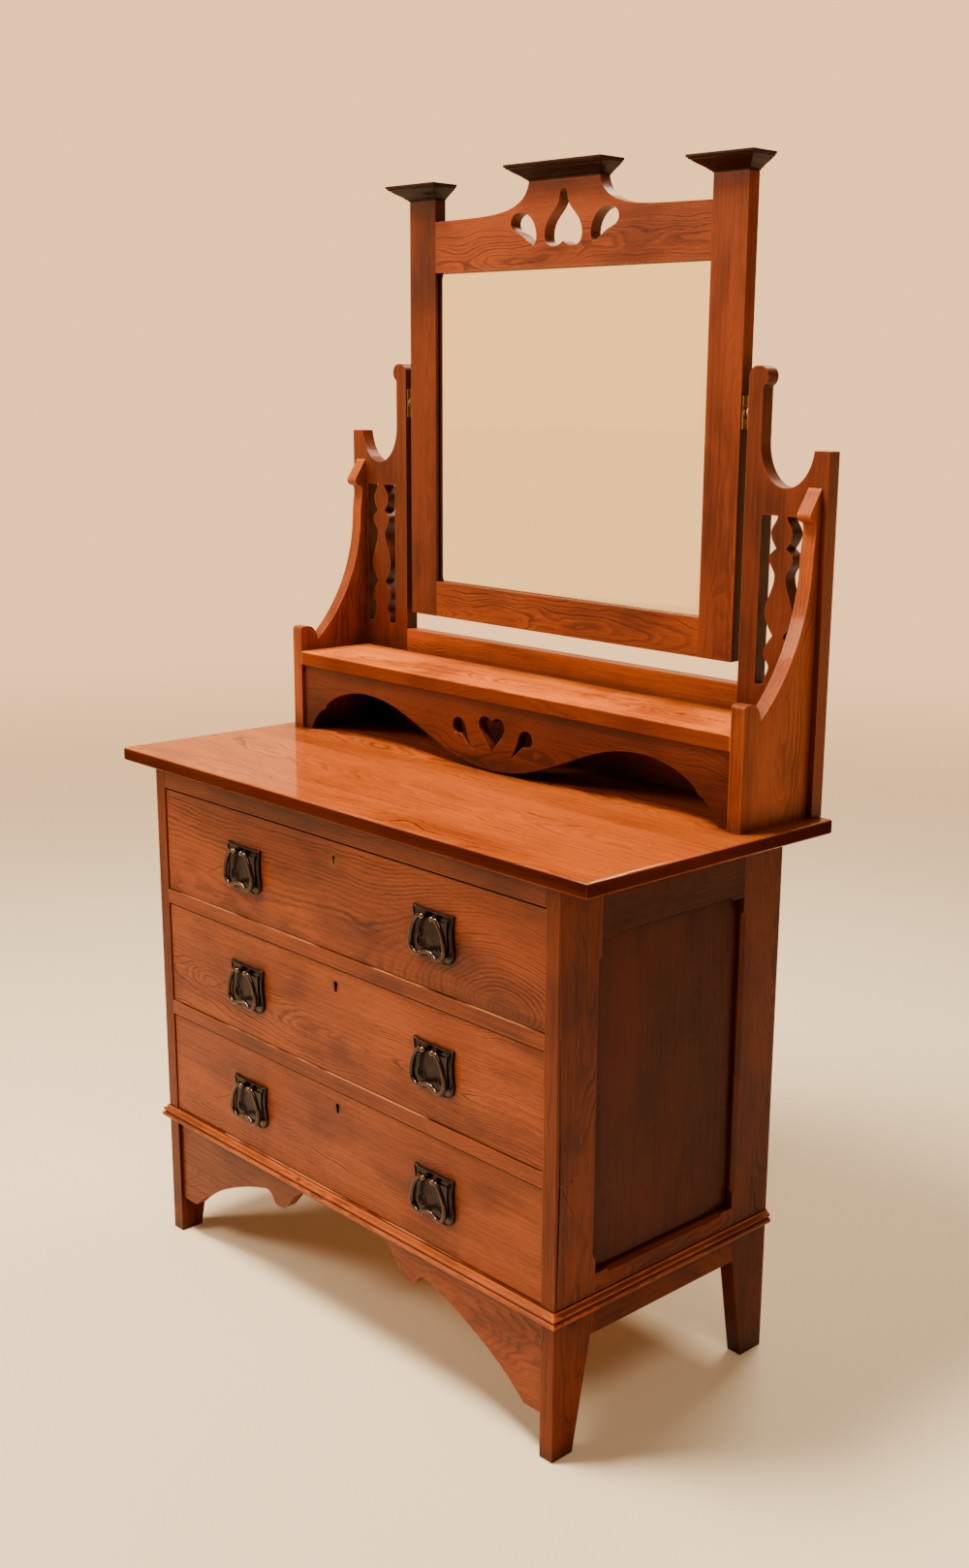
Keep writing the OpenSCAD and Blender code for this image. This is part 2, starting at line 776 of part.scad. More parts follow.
// Shape of the baluster from its head down: each place is [height, half width, notch], the
// height as a part of the slot's, the width as a part of the fullest, and a notch is sharp
BALUSTER = [
    [1.000, 0.34, false], [0.902, 0.78, false], [0.812, 0.36, true], [0.753, 0.87, false],
    [0.648, 0.40, false], [0.435, 1.00, false], [0.299, 0.38, true], [0.186, 0.98, false],
    [0.109, 0.58, false], [0.020, 0.90, false]];

// How far the width has gone from place a to place b at t: a quarter wave at a notch, else
// half a wave
function swell(a, b, t) = a[2] ? sin(90 * t) : b[2] ? 1 - cos(90 * t) : (1 - cos(180 * t)) / 2;

// Half width of the baluster from its head to its foot, as points out from its middle line
function bead_edge() =
    let (h = slot_high - slot_low, n = 7)
    concat(
        [for (k = [0:len(BALUSTER) - 2]) for (i = [0:n - 1])
            let (t = i / n, a = BALUSTER[k], b = BALUSTER[k + 1])
            [(a[1] + (b[1] - a[1]) * swell(a, b, t)) * bulb_half_w,
                slot_low + (a[0] + (b[0] - a[0]) * t) * h]],
        [[0.9 * bulb_half_w, slot_low + 0.02 * h], [0.9 * bulb_half_w, slot_low]]);

// The opening on one side of the baluster: straight outside, beaded inside
module slot_half(w) {
    polygon(concat(bead_edge(), [[w, slot_low], [w, slot_high]]));
}

// Outline of a standard: scroll head, neck, scoop and outer horn
function standard_outline() =
    let (x0 = std_x0, x1 = std_x1, r = scroll_r, z = std_h - r,
        neck_x = x0 + neck_w, horn_x = x1 - neck_w,
        a = (horn_x - neck_x) / 2, b = (horn_h - scoop_h) * 1.18,
        c = [neck_x + a, scoop_h + b])
    concat([[x0, 0], [x0, z]],
        arc([x0 + r, z], r, 180, 90, 8),
        arc([neck_x - r * 0.4, z], r, 90, -65, 14),
        [[neck_x, z - 1.2 * r]],
        oval(c, [a, b], 180, 360 - asin((c[1] - horn_h) / b), 24),
        [[x1, horn_h], [x1, 0]]);

// Standard beside the mirror, pierced on both sides of its baluster
module standard() {
    middle = (std_x0 + slot_in_w + std_x1 - slot_out_w) / 2;
    w = (std_x1 - slot_out_w - std_x0 - slot_in_w) / 2;
    color(OAK) on_top() difference() {
        fret(std_y, std_t) difference() {
            polygon(standard_outline());
            translate([middle, 0]) {
                slot_half(w);
                mirror([1, 0]) slot_half(w);
            }
        }
        translate([std_x0 - eps, pivot_y, pivot_h]) rotate([0, 90, 0])
            cylinder(d = swivel_d + 1, h = swivel_in + 2);
    }
}

module standard_left() {
    on_left() standard();
}

module standard_right() {
    standard();
}

// Back rail of the gallery, between the standards
module gallery_back_rail() {
    color(OAK) on_top() board([-std_x0, std_y, 0], [std_x0, std_y + std_t, gback_h]);
}

// Shelf, its ends let into the side boards
module shelf() {
    x = gside_x;
    z0 = shelf_h - shelf_t;
    color(OAK) on_top() {
        side_cut(-x, 2 * x) polygon(concat(
            arc([gside_y + ease_r, z0 + ease_r], ease_r, 270, 180, 6),
            arc([gside_y + ease_r, shelf_h - ease_r], ease_r, 180, 90, 6),
            [[std_y, shelf_h], [std_y, z0]]));
        both_sides() board([x - eps, gside_y + 2 * housing_d, z0], [x + housing_d, std_y, shelf_h]);
    }
}

// Half the lower edge of the shelf's apron, from the side board to the middle
function shelf_apron_edge() =
    let (w = gside_x, h = shelf_h - shelf_t,
        foot = [w - 18, 0], cusp = [w - 54, 0.36 * h], crown = [0.65 * w, 0.73 * h])
    concat([[w, 0]],
        curve([foot, foot + [-6, 16], cusp + [14, -3], cusp], 8),
        curve([cusp + [-2, 4], cusp + [-14, 20], crown + [40, 0], crown], 8),
        curve([crown, crown + [-110, 0], [120, 2], [0, 2]], 14));

// Half of a heart, from the dip between its lobes to its point
function half_heart() = concat(
    curve([[0, 73], [3, 81], [25, 85], [27, 68]], 8),
    curve([[27, 68], [27, 55], [7, 44], [0, 29]], 8));

// A comma-shaped leaf: round head above, tail curling down towards the middle
function comma() = concat(
    curve([[84, 58], [84, 75], [60, 75], [56, 57]], 8),
    curve([[56, 57], [53, 46], [49, 37], [42, 29]], 5),
    curve([[42, 29], [54, 36], [60, 46], [68, 48]], 5),
    curve([[68, 48], [78, 45], [84, 50], [84, 58]], 5));

// Apron under the shelf: two arches, a heart and two leaves
module shelf_apron() {
    edge = shelf_apron_edge();
    h = shelf_h - shelf_t;
    color(OAK) on_top() fret(gside_y + sapron_in, sapron_t) difference() {
        polygon(concat([[gside_x, h]], edge, flip(edge), [[-gside_x, h]]));
        polygon(concat(half_heart(), flip(half_heart())));
        polygon(comma());
        mirror([1, 0]) polygon(comma());
    }
}

// A swivel's plate on the edge of a board, with its face at x
module swivel_plate(x) {
    translate([x, 0, 0]) board(
        [0, pivot_y - swivel_plate_w / 2, pivot_h - swivel_plate_h / 2],
        [swivel_plate_t, pivot_y + swivel_plate_w / 2, pivot_h + swivel_plate_h / 2]);
}

module along_swivel(x, l, d) {
    translate([x, pivot_y, pivot_h]) rotate([0, 90, 0]) cylinder(d = d, h = l);
}

// Swivel sockets on the standards
module swivel_sockets() {
    x = std_x0 - swivel_plate_t;
    color(BRASS) on_top() both_sides() difference() {
        union() {
            swivel_plate(x);
            along_swivel(x - boss_l, boss_l + eps, boss_d);
        }
        along_swivel(x - boss_l - eps, boss_l + swivel_plate_t + 2 * eps, swivel_d + 2 * swivel_fit);
    }
}

// Swivel pins on the mirror's stiles
module swivel_pins() {
    x = mirror_w / 2;
    color(BRASS) on_top() both_sides() {
        swivel_plate(x);
        along_swivel(x + swivel_plate_t - eps, boss_l / 2, boss_d);
        along_swivel(x + swivel_plate_t, swing_gap - swivel_plate_t + swivel_in, swivel_d);
    }
}

// Stile of the mirror, running up past the crest rail as a post
module mirror_stile() {
    x0 = sight_w / 2;
    color(OAK) on_top() difference() {
        board([x0, std_y, mirror_z], [mirror_w / 2, std_y + frame_t, post_top]);
        board([x0 - eps, std_y + lip_t, sight_z - rebate_w],
            [x0 + rebate_w, std_y + frame_t + eps, crest_z + rebate_w]);
    }
}

module mirror_stile_left() {
    on_left() mirror_stile();
}

module mirror_stile_right() {
    mirror_stile();
}

// Half the top of the crest rail, from the stile to the edge of its neck
function crest_edge() =
    let (w = sight_w / 2, z = crest_z + crest_low_h, top = crest_top, n = crest_half_w)
    concat([[w, z]],
        curve([[w - 90, z + 1.5], [n + 50, z + 3], [n + 6, z + 10], [n, top]], 16));

// Half of the crest's pierced tulip, narrow above and lobed below
function half_tulip() =
    let (z = crest_z)
    concat(
        arc([0, z + 97], 7, 90, 0, 4),
        curve([[7, z + 97], [8, z + 73], [36, z + 72], [37, z + 44]], 10),
        curve([[37, z + 44], [37, z + 24], [12, z + 25], [0, z + 35]], 8));

// A leaf beside the tulip, round above and pointed below
function crest_leaf() =
    let (z = crest_z)
    concat(
        curve([[59, z + 31], [47, z + 40], [57, z + 77], [88, z + 76]], 10),
        curve([[88, z + 76], [109, z + 76], [114, z + 55], [94, z + 49.5]], 8),
        curve([[94, z + 49.5], [80, z + 46], [72, z + 36], [59, z + 31]], 6));

// Crest rail of the mirror, pierced with a tulip and two leaves
module mirror_crest_rail() {
    w = sight_w / 2;
    edge = crest_edge();
    color(OAK) on_top() difference() {
        fret(std_y, frame_t) difference() {
            polygon(concat([[w, crest_z]], edge, flip(edge), [[-w, crest_z]]));
            polygon(concat(half_tulip(), flip(half_tulip())));
            polygon(crest_leaf());
            mirror([1, 0]) polygon(crest_leaf());
        }
        board([-w - eps, std_y + lip_t, crest_z - eps],
            [w + eps, std_y + frame_t + eps, crest_z + rebate_w]);
    }
}

module mirror_bottom_rail() {
    w = sight_w / 2;
    color(OAK) on_top() difference() {
        board([-w, std_y, mirror_z], [w, std_y + frame_t, sight_z]);
        board([-w - eps, std_y + lip_t, sight_z - rebate_w],
            [w + eps, std_y + frame_t + eps, sight_z + eps]);
    }
}

// Half section of a cap: out from the side of a post, and up
function cap_section(w) =
    let (o = cap_oh, h = cap_h)
    concat([[w + 0.06 * o, 0], [w + 0.06 * o, 0.08 * h], [w + 0.14 * o, 0.11 * h]],
        curve([[w + 0.14 * o, 0.11 * h], [w + 0.36 * o, 0.38 * h], [w + 0.6 * o, 0.44 * h],
            [w + 0.82 * o, 0.7 * h]], 6),
        [[w + 0.9 * o, 0.73 * h], [w + 0.93 * o, 0.83 * h], [w + o, 0.84 * h], [w + o, h]]);

// Cap over a post that is 2 * w wide, moulded in front and at both ends, flush behind
module cap(w) {
    section = cap_section(w);
    deep = cap_section(0);
    intersection() {
        fret(std_y - cap_oh, frame_t + cap_oh) polygon(concat(section, flip(section)));
        side_cut(-w - cap_oh, 2 * (w + cap_oh)) polygon(concat(
            [[std_y + frame_t, 0]], [for (p = deep) [std_y - p[0], p[1]]], [[std_y + frame_t, cap_h]]));
    }
}

module mirror_post_caps() {
    color(OAK_DARK) on_top() both_sides()
        translate([mirror_w / 2 - stile_w / 2, 0, post_top]) cap(stile_w / 2);
}

module crest_cap() {
    color(OAK_DARK) on_top() translate([0, 0, crest_top]) cap(crest_half_w);
}

// Section of the glass across its width w: full behind, bevelled in front
function glass_section(w, b) = [[-w, lip_t + glass_t], [-w, lip_t + 0.4 * glass_t],
    [-w + b, lip_t], [w - b, lip_t], [w, lip_t + 0.4 * glass_t], [w, lip_t + glass_t]];

// Mirror glass, bevelled all round
module mirror_glass() {
    w = sight_w / 2 + rebate_w - joint_gap;
    h = sight_h / 2 + rebate_w - joint_gap;
    b = bevel_w + rebate_w;
    color(GLASS) on_top() translate([0, std_y, sight_z + sight_h / 2]) intersection() {
        translate([0, 0, -h]) linear_extrude(2 * h) polygon(glass_section(w, b));
        side_cut(-w, 2 * w) polygon([for (p = glass_section(h, b)) [p[1], p[0]]]);
    }
}

// Thin board behind the glass, in the same rebate
module mirror_back_board() {
    w = sight_w / 2 + rebate_w - joint_gap;
    y = std_y + lip_t + glass_t + joint_gap;
    color(PINE) on_top() board([-w, y, sight_z - rebate_w + joint_gap],
        [w, y + mback_t, crest_z + rebate_w - joint_gap]);
}

// Foot and head of the sides of drawer i
function side_foot(i) = opening_z(i) + run_gap;
function side_head(i) = opening_z(i) + opening_h - head_gap - drawer_side_drop;

// Dovetails at an edge at y, pointing towards way and l long, each wider by g all round
module tails(i, y, way, l, g) {
    pitch = (side_head(i) - side_foot(i)) / tail_count;
    for (k = [0:tail_count - 1]) {
        z = side_foot(i) + pitch * (k + 0.5);
        n = pitch * 0.28 + g;
        polygon([[y - way * eps, z - n], [y + way * (l + g), z - n - tail_flare],
            [y + way * (l + g), z + n + tail_flare], [y - way * eps, z + n]]);
    }
}

// Outline of a keyhole: round above, slotted below
module keyhole(grow) {
    circle(r = key_r + grow);
    translate([-key_slot_w / 2 - grow, -key_slot_l - grow])
        square([key_slot_w + 2 * grow, key_slot_l + grow]);
}

module key_place(i) {
    translate([0, 0, opening_z(i) + opening_h - head_gap - key_down]) children();
}

// The space a lock takes in a drawer front, larger by g
module lock_body(i, g) {
    top = opening_z(i) + opening_h - head_gap;
    w = lock_w / 2 + g;
    board([-w, box_y - lock_t - g, top - lock_h - g], [w, box_y, top]);
    board([-w, box_y - lock_t * 1.4 - g, top - selvedge_t - g], [w, box_y, top]);
}

// The place of each knuckle of drawer i
module at_knuckles(i) {
    for (h = [-1, 1]) for (k = [-1, 1])
        translate([h * handle_x + k * knuckle_gap / 2, 0, opening_z(i) + opening_h / 2 + knuckle_up])
            children();
}

// Drawer front, with dovetail sockets, groove, lock mortise, keyhole and shank holes
module drawer_front(i) {
    z0 = opening_z(i) + drawer_gap;
    z1 = opening_z(i) + opening_h - head_gap;
    w = drawer_half_w;
    bottom = side_foot(i) + bottom_up;
    color(OAK) difference() {
        board([-w, drawer_y, z0], [w, box_y, z1]);
        both_sides() side_cut(w - drawer_side_t - tail_gap, drawer_side_t + 1)
            tails(i, box_y + eps, -1, drawer_front_t - lap_t, tail_gap);
        board([-w + drawer_side_t - bottom_groove, box_y - bottom_groove, bottom - joint_gap],
            [w - drawer_side_t + bottom_groove, box_y + eps, bottom + bottom_t + joint_gap]);
        translate([0, eps, eps]) lock_body(i, joint_gap);
        key_place(i) fret(drawer_y - eps, drawer_front_t) keyhole(lining_t);
        at_knuckles(i) translate([0, drawer_y - eps, 0]) rotate([-90, 0, 0])
            cylinder(d = shank_d + 0.6, h = drawer_front_t + 2 * eps);
    }
}

// Drawer sides, dovetailed at both ends and grooved for the bottom
module drawer_sides(i) {
    x = drawer_half_w - drawer_side_t;
    z0 = side_foot(i);
    z1 = side_head(i);
    bottom = z0 + bottom_up;
    back = drawer_end - drawer_side_t;
    color(PINE) both_sides() difference() {
        side_cut(x, drawer_side_t) {
            polygon([[box_y, z0], [back, z0], [back, z1], [box_y, z1]]);
            tails(i, box_y, -1, drawer_front_t - lap_t, 0);
            tails(i, back, 1, drawer_side_t, 0);
        }
        board([x - eps, box_y - drawer_front_t, bottom - joint_gap],
            [x + bottom_groove, drawer_end + eps, bottom + bottom_t + joint_gap]);
    }
}

// Drawer back, standing on the bottom between the dovetails of the sides
module drawer_back(i) {
    y = drawer_end - drawer_side_t;
    z0 = side_foot(i) + bottom_up + bottom_t + joint_gap;
    color(PINE) difference() {
        board([-drawer_half_w, y, z0], [drawer_half_w, drawer_end, side_head(i)]);
        both_sides() side_cut(drawer_half_w - drawer_side_t - tail_gap, drawer_side_t + 1)
            tails(i, y - eps, 1, drawer_side_t, tail_gap);
    }
}

// Drawer bottom, slid in from behind
module drawer_bottom(i) {
    x = drawer_half_w - drawer_side_t + bottom_groove - joint_gap;
    z = side_foot(i) + bottom_up;
    color(PINE) board([-x, box_y - bottom_groove + joint_gap, z], [x, drawer_end, z + bottom_t]);
}

// Lock in the back of a drawer front, and the thin lining of its keyhole
module drawer_lock(i) {
    color(BRASS) {
        difference() {
            lock_body(i, 0);
            key_place(i) fret(box_y - lock_t - 1, lock_t * 0.7) keyhole(0);
        }
        key_place(i) fret(drawer_y, (drawer_front_t - lock_t) * 0.6) difference() {
            keyhole(lining_t - 0.05);
            keyhole(0);
        }
    }
}

// Half outline of a handle's plate, from the middle of its top round to the middle of its foot
function plate_edge() =
    let (w = plate_half_w, u = plate_up, d = plate_down)
    concat(
        curve([[0, u - d * 0.01], [w * 0.24, u - d * 0.01], [w * 0.34, u - d * 0.04],
            [w * 0.55, u - d * 0.06]], 6),
        curve([[w * 0.55, u - d * 0.06], [w * 0.75, u - d * 0.08], [w * 0.9, u - d * 0.03],
            [w, u]], 6),
        curve([[w, u], [w * 0.9, u - d * 0.3], [w * 0.96, -d * 0.5], [w * 1.02, -d * 0.62]], 6),
        curve([[w * 1.02, -d * 0.62], [w * 1.04, -d * 0.98], [w * 0.6, -d * 1.06],
            [w * 0.4, -d * 0.98]], 8),
        curve([[w * 0.4, -d * 0.98], [w * 0.2, -d * 0.92], [w * 0.1, -d * 0.93],
            [0, -d * 0.94]], 4));

// Back plate of one handle with its knuckles and shanks, its origin between the knuckles
module plate() {
    edge = plate_edge();
    difference() {
        union() {
            fret(-plate_t, plate_t) polygon(concat(edge, flip(edge)));
            translate([0, 0, -0.12 * plate_down])
                fret(-plate_t - field_t, field_t + eps) scale(0.74) polygon(concat(edge, flip(edge)));
            for (k = [-1, 1]) translate([k * knuckle_gap / 2, 0, 0]) rotate([90, 0, 0]) {
                cylinder(d = knuckle_d, h = plate_t + bail_out);
                translate([0, 0, plate_t + bail_out]) sphere(d = knuckle_d);
                translate([0, 0, -drawer_front_t - nut_t - 1])
                    cylinder(d = shank_d, h = drawer_front_t + nut_t + 2);
            }
        }
        translate([-knuckle_gap, -plate_t - bail_out, 0]) rotate([0, 90, 0])
            cylinder(d = bail_pin_d + 2 * bail_fit, h = 2 * knuckle_gap);
    }
}

// The place of a handle on drawer i, on the side h
module at_handle(i, h) {
    translate([h * handle_x, drawer_y, opening_z(i) + opening_h / 2 + knuckle_up]) children();
}

// Both back plates of drawer i, with the nuts behind the drawer front
module drawer_plates(i) {
    color(BRONZE) {
        for (h = [-1, 1]) at_handle(i, h) plate();
        at_knuckles(i) translate([0, box_y + eps, 0]) rotate([-90, 0, 0]) difference() {
            cylinder(d = nut_d, h = nut_t, $fn = 6);
            translate([0, 0, -eps]) cylinder(d = shank_d + 0.1, h = nut_t + 2 * eps);
        }
    }
}

// A length of bent rod of diameter d, in the plane of the bail, round c, from angle a0 to a1
module bend(c, r, d, a0, a1) {
    translate([c[0], 0, c[1]]) rotate([90, 0, 0]) rotate([0, 0, a0])
        rotate_extrude(angle = a1 - a0) translate([r, 0]) circle(d = d);
}

// Bail: two pins, rounded shoulders, long sides, two lobes and a cusp between them. The
// sides and the cusp are a little thinner, and run a little way into the lengths they meet
module bail(i, h) {
    shoulder_r = 6;
    thin = bail_d - 0.3;
    run = 0.8;
    pin_x = knuckle_gap / 2 + knuckle_d / 2 + 1;
    w = bail_half_w;
    z = bail_wide_z;
    d = pin_x - w;
    side_r = (shoulder_r ^ 2 - d ^ 2 - (z - shoulder_r) ^ 2) / (2 * (d + shoulder_r));
    turn = atan2(z - shoulder_r, pin_x - w + side_r);
    lobe_x = w - bail_lobe_r;
    reach = lobe_x / -cos(bail_lobe_a);
    cusp_r = reach - bail_lobe_r;
    cusp_z = -z - reach * sin(bail_lobe_a);
    cusp_more = run / cusp_r * 180 / PI;
    side_more = run / side_r * 180 / PI;
    pin_l = knuckle_d + 1;
    color(BRONZE) at_handle(i, h) translate([0, -plate_t - bail_out, 0]) {
        both_sides() {
            translate([pin_x - pin_l, 0, 0]) rotate([0, 90, 0]) cylinder(d = bail_pin_d, h = pin_l + 1);
            bend([pin_x, -shoulder_r], shoulder_r, bail_d, turn, 90);
            bend([w - side_r, -z], side_r, thin, -side_more, turn + side_more);
            bend([lobe_x, -z], bail_lobe_r, bail_d, -bail_lobe_a, 0);
        }
        bend([0, cusp_z], cusp_r, thin, 180 - bail_lobe_a - cusp_more, bail_lobe_a + cusp_more);
    }
}

module top_drawer_front() { drawer_front(0); }
module top_drawer_sides() { drawer_sides(0); }
module top_drawer_back() { drawer_back(0); }
module top_drawer_bottom() { drawer_bottom(0); }
module top_drawer_lock() { drawer_lock(0); }
module top_drawer_plates() { drawer_plates(0); }
module top_bail_left() { bail(0, -1); }
module top_bail_right() { bail(0, 1); }
module middle_drawer_front() { drawer_front(1); }
module middle_drawer_sides() { drawer_sides(1); }
module middle_drawer_back() { drawer_back(1); }
module middle_drawer_bottom() { drawer_bottom(1); }
module middle_drawer_lock() { drawer_lock(1); }
module middle_drawer_plates() { drawer_plates(1); }
module middle_bail_left() { bail(1, -1); }
module middle_bail_right() { bail(1, 1); }
module bottom_drawer_front() { drawer_front(2); }
module bottom_drawer_sides() { drawer_sides(2); }
module bottom_drawer_back() { drawer_back(2); }
module bottom_drawer_bottom() { drawer_bottom(2); }
module bottom_drawer_lock() { drawer_lock(2); }
module bottom_drawer_plates() { drawer_plates(2); }
module bottom_bail_left() { bail(2, -1); }
module bottom_bail_right() { bail(2, 1); }

top_board();
front_post_left();
front_post_right();
back_post_left();
back_post_right();
side_top_rails();
side_bottom_rails();
side_panels();
front_top_rail();
drawer_rails();
rail_pegs();
front_apron();
front_moulding();
side_mouldings();
back_rails();
back_muntin();
back_panels();
drawer_runners();
drawer_stops();
gallery_side_left();
gallery_side_right();
standard_left();
standard_right();
gallery_back_rail();
shelf();
shelf_apron();
swivel_sockets();
mirror_stile_left();
mirror_stile_right();
mirror_crest_rail();
mirror_bottom_rail();
mirror_post_caps();
crest_cap();
mirror_glass();
mirror_back_board();
swivel_pins();
top_drawer_front();
top_drawer_sides();
top_drawer_back();
top_drawer_bottom();
top_drawer_lock();
top_drawer_plates();
top_bail_left();
top_bail_right();
middle_drawer_front();
middle_drawer_sides();
middle_drawer_back();
middle_drawer_bottom();
middle_drawer_lock();
middle_drawer_plates();
middle_bail_left();
middle_bail_right();
bottom_drawer_front();
bottom_drawer_sides();
bottom_drawer_back();
bottom_drawer_bottom();
bottom_drawer_lock();
bottom_drawer_plates();
bottom_bail_left();
bottom_bail_right();
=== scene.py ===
import math

import bmesh
import bpy
from mathutils import Matrix, Vector


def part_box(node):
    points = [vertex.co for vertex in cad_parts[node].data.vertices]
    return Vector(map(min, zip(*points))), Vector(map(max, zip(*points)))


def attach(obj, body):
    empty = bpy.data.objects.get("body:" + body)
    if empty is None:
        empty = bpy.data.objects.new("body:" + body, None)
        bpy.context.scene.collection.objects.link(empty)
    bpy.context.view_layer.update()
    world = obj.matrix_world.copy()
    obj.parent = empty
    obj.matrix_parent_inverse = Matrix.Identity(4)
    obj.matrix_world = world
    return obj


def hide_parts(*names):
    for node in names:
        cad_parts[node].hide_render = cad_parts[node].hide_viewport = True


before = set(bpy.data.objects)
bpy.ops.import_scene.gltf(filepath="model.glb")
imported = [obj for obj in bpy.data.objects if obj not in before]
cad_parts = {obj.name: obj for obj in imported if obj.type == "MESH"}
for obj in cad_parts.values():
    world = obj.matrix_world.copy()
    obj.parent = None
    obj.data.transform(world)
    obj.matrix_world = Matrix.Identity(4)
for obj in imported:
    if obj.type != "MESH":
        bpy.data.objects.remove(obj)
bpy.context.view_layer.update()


# POSTS
# Four oak posts, 23 mm thick, of even width above the plinth moulding and tapered below
# it. Their grain runs upright, and every rail of the case is tenoned into them.


class Wire:
    """One socket of a material's nodes. Sums and products of wires add Math nodes."""

    def __init__(self, socket):
        self.socket = socket

    def node(self, kind, settings, inputs, out=0):
        """Adds a node: first its settings, then the values or links of its sockets."""
        tree = self.socket.id_data
        made = tree.nodes.new(kind)
        for name, value in settings.items():
            setattr(made, name, value)
        for name, value in inputs.items():
            if isinstance(value, Wire):
                tree.links.new(value.socket, made.inputs[name])
            else:
                made.inputs[name].default_value = value
        return Wire(made.outputs[out])

    def maths(self, operation, *values):
        return self.node("ShaderNodeMath", {"operation": operation}, dict(enumerate(values)))

    def __add__(self, other):
        return self.maths("ADD", self, other)

    def __radd__(self, other):
        return self.maths("ADD", other, self)

    def __sub__(self, other):
        return self.maths("SUBTRACT", self, other)

    def __rsub__(self, other):
        return self.maths("SUBTRACT", other, self)

    def __mul__(self, other):
        return self.maths("MULTIPLY", self, other)

    def __truediv__(self, other):
        return self.maths("DIVIDE", self, other)

    def __pow__(self, other):
        return self.maths("POWER", self, other)

    def whole(self):
        return self.maths("FLOOR", self)

    def part(self):
        return self.maths("FRACT", self)

    def size(self):
        return self.maths("ABSOLUTE", self)

    def rise(self, low, high):
        """0 below low, 1 above high, and smooth between them."""
        return self.node(
            "ShaderNodeMapRange",
            {"interpolation_type": "SMOOTHSTEP"},
            {"Value": self, "From Min": low, "From Max": high},
        )

    def between(self, one, two):
        """A colour between two, this wire being the share of the second, from 0 to 1."""
        return self.node(
            "ShaderNodeMix", {"data_type": "RGBA"}, {0: self, 6: one, 7: two}, out=2
        )

    def tint(self, other, share):
        """This colour, turned towards the other by a share from 0 to 1."""
        return share.between(self, other)

    def bump(self, strength, depth):
        """The surface's direction, with this wire's heights pressed into it."""
        return self.node(
            "ShaderNodeBump", {}, {"Strength": strength, "Distance": depth, "Height": self}
        )


def open_finish(name, **sockets):
    """A new material: its Principled shader, and the place on the piece in metres."""
    finish = bpy.data.materials.new(name)
    finish.use_nodes = True
    shader = finish.node_tree.nodes["Principled BSDF"]
    for socket, value in sockets.items():
        shader.inputs[socket.replace("_", " ")].default_value = value
    place = Wire(finish.node_tree.nodes.new("ShaderNodeTexCoord").outputs["Object"])
    return finish, shader, place


def feed(shader, socket, wire):
    shader.id_data.links.new(wire.socket, shader.inputs[socket])


def split(vector):
    parts = vector.node("ShaderNodeSeparateXYZ", {}, {0: vector}).socket.node.outputs
    return [Wire(socket) for socket in parts]


def join(x, y, z):
    return x.node("ShaderNodeCombineXYZ", {}, {0: x, 1: y, 2: z})


def cloud(vector, scale=1.0, detail=2.0, rough=0.5):
    return vector.node(
        "ShaderNodeTexNoise",
        {},
        {"Vector": vector, "Scale": scale, "Detail": detail, "Roughness": rough},
    )


def hollows(place, reach, **settings):
    """1 in the open and lower where other wood, or its own, is nearer than the reach."""
    return place.node(
        "ShaderNodeAmbientOcclusion", {"samples": 4, **settings}, {"Distance": reach}, out=1
    )


def grain_axes(place, grain):
    """The three places of a point: along the grain, across it, and the third way."""
    x, y, z = split(place)
    return {"X": (x, y, z), "Y": (y, x, z), "Z": (z, x, y)}[grain]


